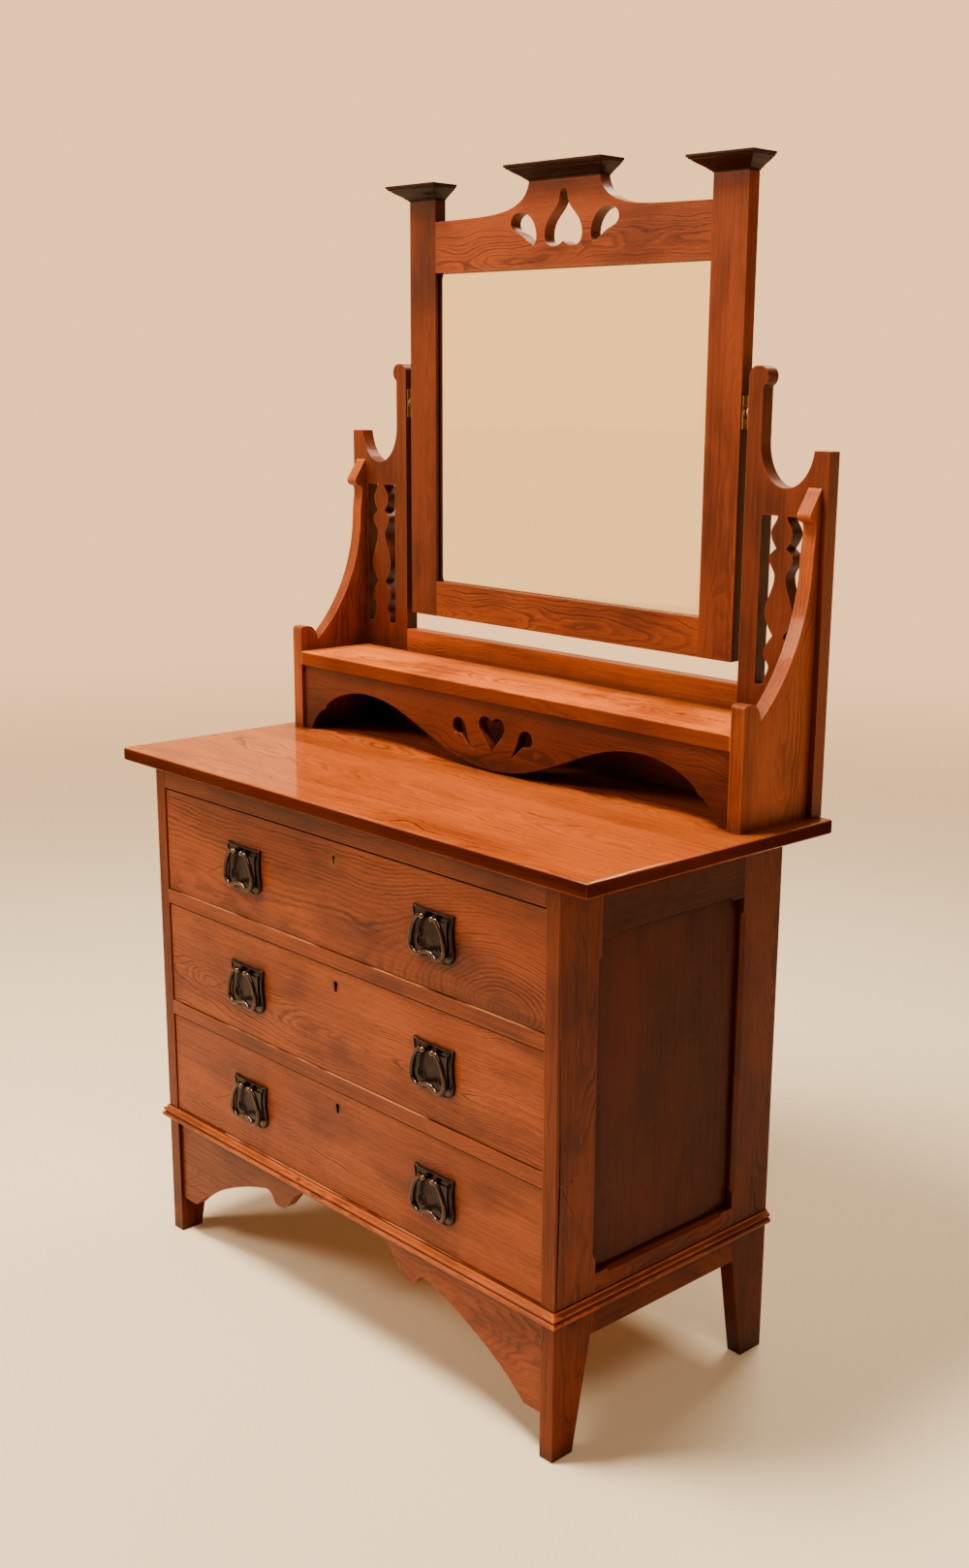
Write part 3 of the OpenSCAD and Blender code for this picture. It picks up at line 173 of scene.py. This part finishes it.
def oak(
    name,
    grain,
    heart,
    lean=(0.05, 0.02),
    ring=0.0026,
    wave=1.0,
    swing=None,
    seed=0.0,
    tone=1.0,
    bold=0.75,
    mottle=1.0,
    flecks=0.0,
    polish=0.10,
    gloss=0.12,
    staves=None,
    side_shade=0.0,
    shaded_lips=None,
    key=None,
    worn_and_highlight=0.0,
):
    """Waxed oak. The rings lie round a heart line that leans a little along the grain.

    A ring is so wide in metres and strays by the wave. A tone under 1 is darker wood and
    one over 1 lighter; a few pieces' tones also hold painted shade, and the shelf's painted
    light.
    Bold is the strength of the rings' lines, mottle that of the patches of wax, and
    flecks that of the rays. Polish and gloss are the shine of the wax and of the wood.
    """
    finish, shader, place = open_finish(
        "oak_" + name, Coat_Weight=polish, Coat_Roughness=0.08, Specular_IOR_Level=gloss
    )
    # the darker the old wax, the redder the wood
    amber, chestnut, umber, shade_and_dirt = [
        (r * tone, g * tone**1.18, b * tone**0.75, 1)
        for r, g, b in (
            (0.31, 0.062, 0.009),
            (0.100, 0.016, 0.0036),
            (0.034, 0.0052, 0.0018),
            (0.006, 0.002, 0.001),
        )
    ]
    along, across, deep = grain_axes(place, grain)
    if staves:
        # glued up from boards of this width, each from another part of the log
        board = (across / staves).whole()
        across = across - board * staves - staves * 0.5
        along = along + board * 0.73
        deep = deep + board * 0.004
        seed = board * 5.3 + seed

    # Rings of growth. All noise is drawn out along the grain: the factors count its
    # waves to a metre, first along the grain and then across it.
    stray = 0.045 * wave
    wander = cloud(join(along * 2.6 + seed, across * 7.0, deep * 7.0), 1.6, 2.5) - 0.5
    drift = cloud(join(along * 3.0 + 9.1, across * 7.0 + seed, deep * 7.0), 1.6, 2.5) - 0.5
    shiver = cloud(join(along * 16.0, across * 80.0 + seed, deep * 80.0)) - 0.5
    u = across - along * lean[0] - heart[0] + wander * stray
    if swing:
        # the heart line comes out through the face between these places along the grain
        start, end, way = swing
        u = u - along.rise(start, end) * way
    v = deep - along * lean[1] - heart[1] + drift * stray
    rings = (u * u + v * v) ** 0.5 / ring + shiver * 1.1
    year = rings.part()
    luck = rings.node("ShaderNodeTexWhiteNoise", {"noise_dimensions": "1D"}, {"W": rings.whole()})
    fading = cloud(join(along * 2.0 + 3.7, across * 14.0, deep * 14.0 + seed))
    strong = (0.25 + luck * 0.75) * (0.35 + fading.rise(0.35, 0.65) * 0.65)
    spring = year.rise(0.0, 0.12) * (1.0 - year.rise(0.20, 0.80)) * strong

    # fibres, the open pores of the spring wood, and wax that has sunk in unevenly
    fibres = cloud(join(along * 7.0, across * 260.0 + seed, deep * 260.0), 1.0, 3.0, 0.6)
    streaks = cloud(join(along * 75.0, across * 1700.0, deep * 1700.0 + seed), 1.0, 1.5)
    pores = streaks.rise(0.50, 0.62) * (0.25 + spring * 0.95)
    patches = cloud(join(along * 1.6, across * 6.0, deep * 6.0 + seed), 1.5, 2.5)
    blots = cloud(join(along * 9.0, across * 16.0, deep * 16.0 + seed), 1.0, 2.5)
    wax = patches.rise(0.36, 0.62) * 0.60 + blots.rise(0.42, 0.70) * 0.42
    wax = wax * mottle - 0.10
    colour = (wax + (fibres - 0.5) * 1.2).between(amber, chestnut)
    colour = colour.tint(umber, spring * bold)
    colour = colour.tint(umber, pores * (0.2 + bold * 0.6))
    if flecks:
        rays = cloud(join(along * 150.0, across * 30.0, deep * 30.0 + seed))
        colour = colour.tint(amber, rays.rise(0.58, 0.72) * flecks)

    # painted shade and highlight, with dirt and wear
    x, y, z = split(place)
    facing_up = split(place.node("ShaderNodeNewGeometry", {}, {}, out="Normal"))[2]
    # painted shade, with the darker end and side grain: the colour darkened where a board doesn't
    # face up; the wax shines only where it does
    if side_shade:
        level = facing_up.size().rise(0.3, 0.9)
        colour = colour.tint(umber, (1.0 - level) * side_shade)
        feed(shader, "Coat Weight", level * polish)
    corner = hollows(place, 0.034) ** 1.6
    arris = 1.0 - hollows(place, 0.0030, inside=True, only_local=True).rise(0.50, 0.90)
    rubbed = arris * corner * (0.25 + fibres * 0.9)
    # painted shade: the colour darkened where other wood, or the piece's own, is near, as in
    # corners and recesses and between parts
    colour = colour.tint(shade_and_dirt, (1.0 - corner) * 0.85)
    if shaded_lips:
        # painted shade: the lower and upper edge of a drawer front darkened, for the shadow in
        # the gaps round it
        foot, head = shaded_lips
        colour = colour.tint(shade_and_dirt, (1.0 - z.rise(foot + 0.0008, foot + 0.0018)) * 0.9)
        colour = colour.tint(shade_and_dirt, z.rise(head - 0.0016, head - 0.0008) * 0.9)
    if key:
        # dirt that keys and fingers have left round the keyhole, with painted shade that makes
        # the dark hole look wider
        off = (x * x + (z - key) * (z - key)) ** 0.5
        colour = colour.tint(shade_and_dirt, (1.0 - off.rise(0.0050, 0.0095)) * 0.85)
    if worn_and_highlight:
        # the upper arris of a rail, pale in places where it faces up: wear from the drawer above
        # it, and painted highlight
        bare = facing_up.rise(0.35, 0.85) * blots.rise(0.42, 0.55) * worn_and_highlight
        colour = colour.tint((0.56, 0.23, 0.10, 1), bare)
    colour = colour.tint([min(v * 1.6, 0.9) for v in amber], rubbed * 0.65)
    feed(shader, "Base Color", colour)
    feed(shader, "Roughness", 0.30 + fibres * 0.18 + pores * 0.25 - rubbed * 0.12)
    height = fibres * 0.3 - pores * 0.7 - spring * 0.3
    feed(shader, "Normal", height.bump(0.35, 0.0005))
    return finish


def dress(node, finish, eased=0.0012):
    """Gives a CAD node, or a piece made here, its finish and rubs its arrises round."""
    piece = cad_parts.get(node) or bpy.data.objects[node]
    piece.data.materials.clear()
    piece.data.materials.append(finish)
    for face in piece.data.polygons:
        face.use_smooth = True
    piece.data.set_sharp_from_angle(angle=math.radians(32))
    weld = piece.modifiers.new("weld", "WELD")
    weld.merge_threshold = 0.00002
    if eased:
        bevel = piece.modifiers.new("eased", "BEVEL")
        bevel.width = eased
        bevel.segments = 2
        bevel.limit_method = "ANGLE"
        bevel.angle_limit = math.radians(34)
        bevel.face_strength_mode = "FSTR_ALL"
    flat = piece.modifiers.new("flat", "WEIGHTED_NORMAL")
    flat.use_face_influence = bool(eased)
    flat.keep_sharp = True


for node, side, tone, off_centre, seed in (
    ("front_post_left", -1, 0.4784, -0.01, 0.0),
    ("front_post_right", 1, 0.4784, 0.0, 3.7),
    ("back_post_left", -1, 0.3312, 0.01, 7.4),
    ("back_post_right", 1, 0.3312, 0.02, 11.1),
):
    low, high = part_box(node)
    heart = (side * 0.38, (low.y + high.y) / 2 + off_centre)
    dress(node, oak(node, "Z", heart, lean=(0.03, 0.02), seed=seed, tone=tone, gloss=0.08))


# SIDE RAILS AND PANELS
# An upper and a lower rail at each side and a thin panel between them, loose in a groove.
# The panels are quarter-sawn oak and have darkened most.

# the upper rails are darker than the lower: painted shade, for the shadow under the top's
# overhang
for node, tone, seed in (("side_top_rails", 0.18, 21), ("side_bottom_rails", 0.40, 25.1)):
    low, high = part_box(node)
    heart = (0.0, (low.z + high.z) / 2 + 0.03)
    dress(node, oak(node, "Y", heart, seed=seed, tone=tone, gloss=0.06, bold=0.7))
panels = oak(
    "side_panels",
    "Z",
    heart=(0.0, 0.9),
    lean=(0.0, 0.02),
    seed=4.4,
    tone=0.21,
    flecks=0.3,
    gloss=0.05,
)
dress("side_panels", panels, eased=0)


# FRONT RAILS
# Oak: a rail over the top drawer and a rail under each drawer. Two pegs through each
# front post hold the tenons of the rail below the middle drawer.

head_rail = oak("front_top_rail", "X", heart=(-0.10, 0.95), seed=31, tone=0.52, bold=0.6)
dress("front_top_rail", head_rail)
# their upper arrises paled in places: wear, and painted highlight
rails = oak(
    "drawer_rails",
    "X",
    heart=(0.05, 0.90),
    lean=(0.02, 0.01),
    seed=33,
    tone=0.66,
    bold=0.6,
    worn_and_highlight=0.8,
)
dress("drawer_rails", rails)
dress("rail_pegs", oak("rail_pegs", "X", (-0.1, 0.38), seed=35, tone=0.25), eased=0.0004)


# APRON AND PLINTH MOULDING
# The apron is fret-sawn from one oak board. The moulding, two beads under a hollow, is
# glued round the case above it, mitred at the front corners.

# its tone is partly painted shade, for the light falling off lower down
apron = oak(
    "front_apron", "X", heart=(-0.15, 0.13), lean=(0.04, 0.03), seed=41, tone=0.72, bold=0.8
)
dress("front_apron", apron)
for node, grain, heart, seed, tone in (
    ("front_moulding", "X", (-0.1, 0.14), 43, 1.2),
    ("side_mouldings", "Y", (0.3, 0.14), 45, 0.9),
):
    dress(node, oak(node, grain, heart, seed=seed, tone=tone, bold=0.8), eased=0)


# BACK FRAME, RUNNERS AND STOPS
# Pine, left bare. A frame with a muntin and two thin panels closes the back, runners
# carry the drawers, kickers keep the top one level, and blocks on the rails stop them.


def pine(node, grain, heart, seed):
    """Gives a node bare pine, gone the colour of honey, with dust in its grain."""
    finish, shader, place = open_finish("pine_" + node)
    along, across, deep = grain_axes(place, grain)
    wander = cloud(join(along + seed, across * 2.0, deep * 2.0), 2.0) - 0.5
    u = across - heart[0] + along * 0.04 + wander * 0.03
    v = deep - heart[1] + wander * 0.02
    year = ((u * u + v * v) ** 0.5 / 0.006).part()
    summer = year.rise(0.35, 0.92) * (1.0 - year.rise(0.94, 1.0))
    fibres = cloud(join(along * 12.0, across * 500.0, deep * 500.0 + seed))
    dust = cloud(place, 7.0, 4.0, 0.6)
    colour = (summer * 0.6).between((0.40, 0.19, 0.065, 1), (0.22, 0.08, 0.022, 1))
    colour = colour.tint((0.17, 0.08, 0.03, 1), fibres.rise(0.45, 0.75) * 0.35)
    colour = colour.tint((0.09, 0.055, 0.03, 1), dust.rise(0.45, 0.75) * 0.4)
    feed(shader, "Base Color", colour)
    feed(shader, "Roughness", 0.55 + fibres * 0.2)
    feed(shader, "Normal", (fibres - summer * 0.3).bump(0.3, 0.0006))
    dress(node, finish, eased=0)


pine("back_rails", "X", heart=(0.15, 0.4), seed=1.3)
pine("back_muntin", "Z", heart=(0.02, 0.15), seed=2.9)
pine("back_panels", "Z", heart=(0.1, 0.1), seed=4.2)
pine("drawer_runners", "Y", heart=(0.35, 0.3), seed=5.5)
pine("drawer_stops", "X", heart=(-0.1, 0.3), seed=6.1)


# TOP BOARD
# Glued up from three oak boards, and the most polished surface of the chest. It stands
# out 60 mm beyond the posts at the sides and 17 mm in front, its edges eased.

top = oak(
    "top_board",
    "X",
    heart=(0.01, 0.735),
    lean=(0.01, 0.03),
    ring=0.004,
    seed=51,
    staves=0.151,
    tone=1.16,
    polish=0.5,
    gloss=0.0,
    # its sides darkened in painted shade
    side_shade=0.9,
    mottle=0.6,
)
dress("top_board", top, eased=0)


# GALLERY
# Oak: two shaped side boards stand on the top and carry a shelf and its pierced apron.
# Behind them the standards rise to hold the mirror, with a rail between their feet.

for side, gallery_seed, standard_seed in (("left", 61, 65), ("right", 63.3, 67.9)):
    way = -1 if side == "left" else 1
    node = "gallery_side_" + side
    heart = (way * 0.40, 0.13)
    board = oak(node, "Z", heart, lean=(0.01, 0.03), seed=gallery_seed, tone=0.92, bold=0.9)
    dress(node, board)
    node = "standard_" + side
    heart = (way * 0.41, 0.17)
    board = oak(node, "Z", heart, lean=(0.02, 0.03), seed=standard_seed, tone=0.42, bold=0.7)
    dress(node, board)
dress("gallery_back_rail", oak("gallery_back_rail", "X", heart=(0.17, 0.86), seed=69))
# the shelf's tone, much the lightest of the oak, is partly painted light, for the bright light on
# it
shelf = oak(
    "shelf",
    "X",
    heart=(0.13, 0.86),
    lean=(0.02, 0.03),
    seed=71,
    flecks=0.2,
    tone=2.4,
    polish=0.16,
    gloss=0.0,
    # its sides darkened in painted shade
    side_shade=0.85,
    bold=0.9,
)
dress("shelf", shelf, eased=0)
shelf_apron = oak(
    "shelf_apron", "X", heart=(0.12, 0.80), lean=(0.02, 0.03), seed=73, tone=0.38, bold=0.8
)
dress("shelf_apron", shelf_apron)


# MIRROR FRAME
# Oak: two stiles that run up beside the crest as posts, a pierced crest rail and a plain
# bottom rail. Moulded caps, stained darker, sit on the posts and on the crest.

for node, x, tone, seed in (
    ("mirror_stile_left", -0.30, 0.34, 81),
    ("mirror_stile_right", 0.30, 0.52, 84.1),
):
    dress(node, oak(node, "Z", (x, 0.24), lean=(0.02, 0.02), seed=seed, tone=tone, bold=0.5))
crest = oak(
    "mirror_crest_rail", "X", heart=(0.24, 1.50), lean=(0.02, 0.03), seed=87, tone=0.55, bold=0.7
)
dress("mirror_crest_rail", crest)
foot_rail = oak("mirror_bottom_rail", "X", heart=(0.24, 0.98), seed=89, tone=0.68, bold=0.8)
dress("mirror_bottom_rail", foot_rail)
for node in ("mirror_post_caps", "crest_cap"):
    dress(node, oak(node, "X", (0.15, 1.45), seed=91, tone=0.05, gloss=0.06), eased=0.0006)


# MIRROR GLASS AND ITS BACK BOARD
# Silvered glass with a wide bevel, held in the rebate by a thin pine board. The silver
# has begun to spot near its lower edge.

silver, shader, place = open_finish("silvered_glass", Metallic=1.0)
specks = cloud(place, 90.0, 3.0, 0.7)
damp = cloud(place, 3.0, 3.0, 0.6)
near_foot = 1.0 - split(place)[2].rise(1.03, 1.16)
spots = specks.rise(0.66, 0.74) * damp.rise(0.45, 0.7) * near_foot
feed(shader, "Base Color", (spots * 0.6).between((0.97, 0.90, 0.62, 1), (0.30, 0.27, 0.22, 1)))
feed(shader, "Roughness", 0.015 + spots * 0.4 + damp * 0.02)
dress("mirror_glass", silver, eased=0)
pine("mirror_back_board", "X", heart=(0.2, 1.2), seed=7.7)


# SWIVELS AND LOCKS
# Aged brass. At each edge of the mirror a pin on a plate turns in a bored boss on the
# standard. Each lock shows only the lining of its keyhole and the plate along the top of
# the drawer front. The locks of the middle and bottom drawers are near black, painted
# shade for the dark of their keyholes.


def brass(name, dull, darkened_to):
    """Brass gone dull and dark, from not at all at 0 to all over at 1: soiled on the aged brass,
    painted shade on the black.
    """
    finish, shader, place = open_finish("brass_" + name, Metallic=1.0)
    breath = cloud(place, 60.0, 4.0, 0.6)
    scratches = cloud(place, 900.0)
    dulled = breath.rise(0.3, 0.7) * (1 - dull) + dull
    feed(shader, "Base Color", dulled.between((0.52, 0.34, 0.13, 1), darkened_to))
    feed(shader, "Roughness", 0.25 + breath * 0.25 + scratches * 0.1)
    feed(shader, "Normal", scratches.bump(0.2, 0.0003))
    return finish


aged_brass = brass("aged", 0.45, darkened_to=(0.10, 0.06, 0.03, 1))
# near black all over: painted shade, for the dark inside a keyhole
black_brass = brass("black", 0.98, darkened_to=(0.008, 0.005, 0.003, 1))
dress("swivel_sockets", aged_brass, eased=0.0004)
dress("swivel_pins", aged_brass, eased=0.0004)
for drawer, lock_brass in (("top", aged_brass), ("middle", black_brass), ("bottom", black_brass)):
    dress(drawer + "_drawer_lock", lock_brass, eased=0)


# DRAWERS
# Three drawers with lapped dovetails. The fronts are oak, one board each, chosen for its
# figure; the sides, backs and bottoms are pine.

# The top front's tone is partly painted shade, for the shadow under the top's overhang, and the
# bottom front's partly painted shade, for the light falling off lower down.
fronts = {
    "top": dict(
        heart=(-0.3075, 0.583),
        lean=(0.0, 0.0),
        ring=0.0044,
        swing=(0.045, 0.645, 0.2),
        wave=0.55,
        seed=101.0,
        tone=0.75,
        bold=0.95,
    ),
    "middle": dict(
        heart=(-0.190, 0.446), lean=(-0.05, 0.01), ring=0.0027, seed=107.0, tone=0.94, bold=1.0
    ),
    "bottom": dict(heart=(-0.08, 0.08), lean=(0.02, 0.02), seed=113.0, tone=0.84, bold=0.7),
}
for drawer, figure in fronts.items():
    node = drawer + "_drawer_front"
    low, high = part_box(node)
    # the keyhole of the top drawer has no dark ring of dirt and painted shade round it
    key = None if drawer == "top" else high.z - 0.025
    dress(node, oak(node, "X", shaded_lips=(low.z, high.z), key=key, **figure))
    pine(drawer + "_drawer_sides", "Y", heart=(0.3, 0.3), seed=low.z)
    pine(drawer + "_drawer_back", "X", heart=(0.1, 0.3), seed=low.z + 1)
    pine(drawer + "_drawer_bottom", "X", heart=(0.0, 0.2), seed=low.z + 2)


# HANDLES
# Two cast handles on each drawer: a shaped back plate with a rolled rim and a pair of
# scrolls in relief, and a lobed bail that swings in two knuckles. Dark bronzed brass.


def bronze(name, dull, handled, knuckles=None):
    """Cast brass bronzed nearly black: dull where it is never touched, bright where it is."""
    finish, shader, place = open_finish("bronze_" + name, Metallic=1.0)
    bloom = cloud(place, 70.0, 3.0, 0.6)
    grit = cloud(place, 900.0)
    edge = place.node("ShaderNodeNewGeometry", {}, {}, out="Pointiness")
    rubbed = edge.rise(0.52, 0.62) * handled
    if knuckles:
        # what stands out in front of this place is a knuckle, and the bail rubs it
        knuckle = (0.0 - split(place)[1]).rise(knuckles, knuckles + 0.002)
        rubbed = rubbed + knuckle * 0.45
        dull = dull - knuckle * 0.17
    colour = bloom.rise(0.40, 0.75).between((0.010, 0.0064, 0.0074, 1), (0.030, 0.019, 0.021, 1))
    colour = colour.tint((0.34, 0.23, 0.19, 1), rubbed * 0.6 + handled * 0.15)
    feed(shader, "Base Color", colour)
    feed(shader, "Roughness", dull + bloom * 0.14 - rubbed * 0.08)
    feed(shader, "Normal", (grit * 0.5 + bloom).bump(0.15, 0.0002))
    return finish


plate_bronze = bronze("plate", 0.24, 0.15, knuckles=0.213)
bail_bronze = bronze("bail", 0.08, 0.8)


def bead(mesh, path, radii, y):
    """Adds to mesh a half-round bead along a path in X and Z that lies on the plane y."""
    sides = 8
    rings = []
    for k, (x, z) in enumerate(path):
        (ax, az), (bx, bz) = path[max(k - 1, 0)], path[min(k + 1, len(path) - 1)]
        way = Vector((bx - ax, 0, bz - az)).normalized()
        aside = Vector((-way.z, 0, way.x))
        ring = []
        for j in range(sides + 1):
            # the bead's edges are sunk into the plate, so its section is more than half
            turn = math.radians(-20 + 220 * j / sides)
            out = aside * math.cos(turn) * radii[k]
            place = (x + out.x, y - math.sin(turn) * radii[k], z + out.z)
            ring.append(mesh.verts.new(place))
        rings.append(ring)
    for one, two in zip(rings, rings[1:]):
        for j in range(sides):
            mesh.faces.new((one[j], one[j + 1], two[j + 1], two[j]))


def flowing(points):
    """More points on the smooth line through these ones."""
    steps = 5
    last = len(points) - 1
    line = []
    for k in range(last):
        a, b, c, d = [Vector(points[min(max(j, 0), last)]) for j in range(k - 1, k + 3)]
        for t in [j / steps for j in range(steps)]:
            bend = (2 * a - 5 * b + 4 * c - d) * t**2 + (3 * b - a - 3 * c + d) * t**3
            line.append(0.5 * (2 * b + (c - a) * t + bend))
    return line + [Vector(points[-1])]


# one scroll winds in by two turns, from a radius of 9.5 mm to 1.5 mm
scroll_x, scroll_z = 20, -38
curl = []
for k in range(34):
    t = k / 33
    turn, radius = math.radians(90 - 720 * t), 9.5 - 8.0 * t
    curl.append((scroll_x + radius * math.cos(turn), scroll_z + radius * math.sin(turn)))
curl_radii = [0.0012 - 0.0004 * k / len(curl) for k in range(len(curl))]

# half of the plate's rolled rim, in millimetres from the point between the knuckles
rim = [(0, 4.9), (12, 4.7), (22, 4.8), (31, 5.2), (38.2, 5.7), (36.5, -6), (36.4, -19)]
rim += [(37.5, -29.7), (39.2, -37.5), (39, -44), (36.9, -50), (30.9, -56.4)]
rim += [(23.4, -58.9), (16.6, -57.3), (6.8, -54.4), (0, -54.8)]
right_half = [(x / 1000, z / 1000) for x, z in flowing(rim)]
left_half = [(-x, z) for x, z in reversed(right_half)]
rim_line = left_half + right_half[1:]

relief = bmesh.new()
for side in (-1, 1):
    bead(relief, [(side * x / 1000, z / 1000) for x, z in curl], curl_radii, -0.0043)
bead(relief, rim_line, [0.0014] * len(rim_line), -0.0025)
bmesh.ops.recalc_face_normals(relief, faces=relief.faces)
relief_mesh = bpy.data.meshes.new("plate_relief")
relief.to_mesh(relief_mesh)
for face in relief_mesh.polygons:
    face.use_smooth = True
relief_mesh.materials.append(plate_bronze)

# height of the plate's top edge at distances out from its middle, as it was drawn in CAD
brow = [(14, 5.3), (18.1, 4.54), (22, 3.9), (25.8, 3.63), (29.3, 3.9), (32.5, 4.57)]
brow += [(35.3, 5.5), (37.8, 6.53), (40, 7.5)]


def drawn_height(out):
    for (a, low), (b, high) in zip(brow, brow[1:]):
        if out < b:
            return low + (high - low) * (out - a) / (b - a)


handle_x = 0.208
hang = 0.0548  # from the top of a drawer front down to the point between the knuckles
for drawer in fronts:
    front_low, front_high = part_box(drawer + "_drawer_front")
    pivot_z = front_high.z - hang
    for side, x in (("left", -handle_x), ("right", handle_x)):
        dress(drawer + "_bail_" + side, bail_bronze, eased=0)
        piece = bpy.data.objects.new(f"{drawer}_{side}_plate_relief", relief_mesh)
        bpy.context.scene.collection.objects.link(piece)
        piece.location = (x, front_low.y, pivot_z)
        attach(piece, drawer + "_drawer")
    # The brow of each plate runs nearly level from the knuckles to the corners. The
    # shanks and nuts, which lie behind the face of the drawer, stay as they are.
    plates_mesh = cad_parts[drawer + "_drawer_plates"].data.copy()
    for corner in plates_mesh.vertices:
        out = abs(abs(corner.co.x) - handle_x) * 1000
        rise = (corner.co.z - pivot_z) * 1000
        if corner.co.y < front_low.y + 0.0001 and 14 < out < 39.9 and rise > 2:
            level = 6.1 + 1.4 * (out / 40) ** 4
            corner.co.z += (level - drawn_height(out)) / 1000
    piece = bpy.data.objects.new(drawer + "_handle_plates", plates_mesh)
    bpy.context.scene.collection.objects.link(piece)
    dress(piece.name, plate_bronze, eased=0.0004)
    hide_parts(drawer + "_drawer_plates")
    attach(piece, drawer + "_drawer")


# STUDIO
# A plain pale floor under four broad soft lamps, the strongest in front on the left and
# overhead, with warm pale air all round. The camera stands where the photograph's did.

air_shade = (1.0, 0.56, 0.25, 1)
floor_mesh = bpy.data.meshes.new("floor")
reach = 40
floor_corners = [(-reach, -reach, 0), (reach, -reach, 0), (reach, reach, 0), (-reach, reach, 0)]
floor_mesh.from_pydata(floor_corners, [], [(0, 1, 2, 3)])
floor = bpy.data.objects.new("floor", floor_mesh)
bpy.context.scene.collection.objects.link(floor)
floor.location.z = -0.0005
pale, shader, place = open_finish("pale_floor", Roughness=0.8)
cloth = cloud(place, 2.0, 3.0)
feed(shader, "Base Color", (cloth * 0.4).between((0.92, 0.80, 0.62, 1), (0.88, 0.76, 0.58, 1)))
shader.inputs["Emission Color"].default_value = (1.0, 0.62, 0.32, 1)
shader.inputs["Emission Strength"].default_value = 0.02
# far off, the floor melts into the air
x, y, z = split(place)
haze = place.node("ShaderNodeEmission", {}, {"Color": air_shade, "Strength": 2.0})
far = ((x * x + y * y) ** 0.5).rise(1.2, 6.5)
mixed = place.node("ShaderNodeMixShader", {}, {0: far, 1: Wire(shader.outputs[0]), 2: haze})
feed(pale.node_tree.nodes["Material Output"], "Surface", mixed)
floor_mesh.materials.append(pale)

world = bpy.data.worlds.new("pale_air")
bpy.context.scene.world = world
world.use_nodes = True
air = world.node_tree.nodes["Background"]
air.inputs["Color"].default_value = air_shade
path = world.node_tree.nodes.new("ShaderNodeLightPath")
seen, mirrored = Wire(path.outputs["Is Camera Ray"]), Wire(path.outputs["Is Glossy Ray"])
to_right = split(Wire(world.node_tree.nodes.new("ShaderNodeTexCoord").outputs["Generated"]))[0]
glow = 0.16 + seen * 1.84 + mirrored * (1.95 - to_right.rise(-0.2, 0.6) * 1.8)
feed(air, "Strength", glow)

chest_middle = Vector((0, 0, 0.8))
for name, place, size, power, shade in (
    ("key", (-2.2, -2.8, 3.1), 1.2, 115, (1.0, 0.80, 0.56)),
    ("fill", (2.2, -1.0, 3.4), 1.2, 42, (1.0, 0.80, 0.56)),
    ("overhead", (-0.4, -0.8, 3.5), 0.8, 240, (1.0, 0.82, 0.58)),
    ("back", (-0.3, 1.6, 3.0), 1.0, 70, (1.0, 0.82, 0.58)),
):
    light = bpy.data.lights.new(name, "AREA")
    light.size = size
    light.energy = power
    light.color = shade
    lamp = bpy.data.objects.new(name, light)
    lamp.location = place
    lamp.rotation_euler = (chest_middle - Vector(place)).to_track_quat("-Z", "Y").to_euler()
    bpy.context.scene.collection.objects.link(lamp)

azimuth, elevation, roll = math.radians(45.31), math.radians(13.91), math.radians(0.89)
right = Vector((math.cos(azimuth), math.sin(azimuth), 0))
level_ahead = Vector((-math.sin(azimuth), math.cos(azimuth), 0))
ahead = level_ahead * math.cos(elevation) - Vector((0, 0, math.sin(elevation)))
up = right.cross(ahead)
right, up = (
    right * math.cos(roll) + up * math.sin(roll),
    up * math.cos(roll) - right * math.sin(roll),
)
turned = Matrix((right, up, -ahead)).transposed().to_4x4()
camera = bpy.data.objects.new("camera", bpy.data.cameras.new("camera"))
camera.matrix_world = Matrix.Translation((1.8047, -1.5618, 1.3208)) @ turned
camera.data.lens = 39.78
camera.data.shift_x = -0.0501
camera.data.shift_y = 0.0194
bpy.context.scene.collection.objects.link(camera)
bpy.context.scene.camera = camera
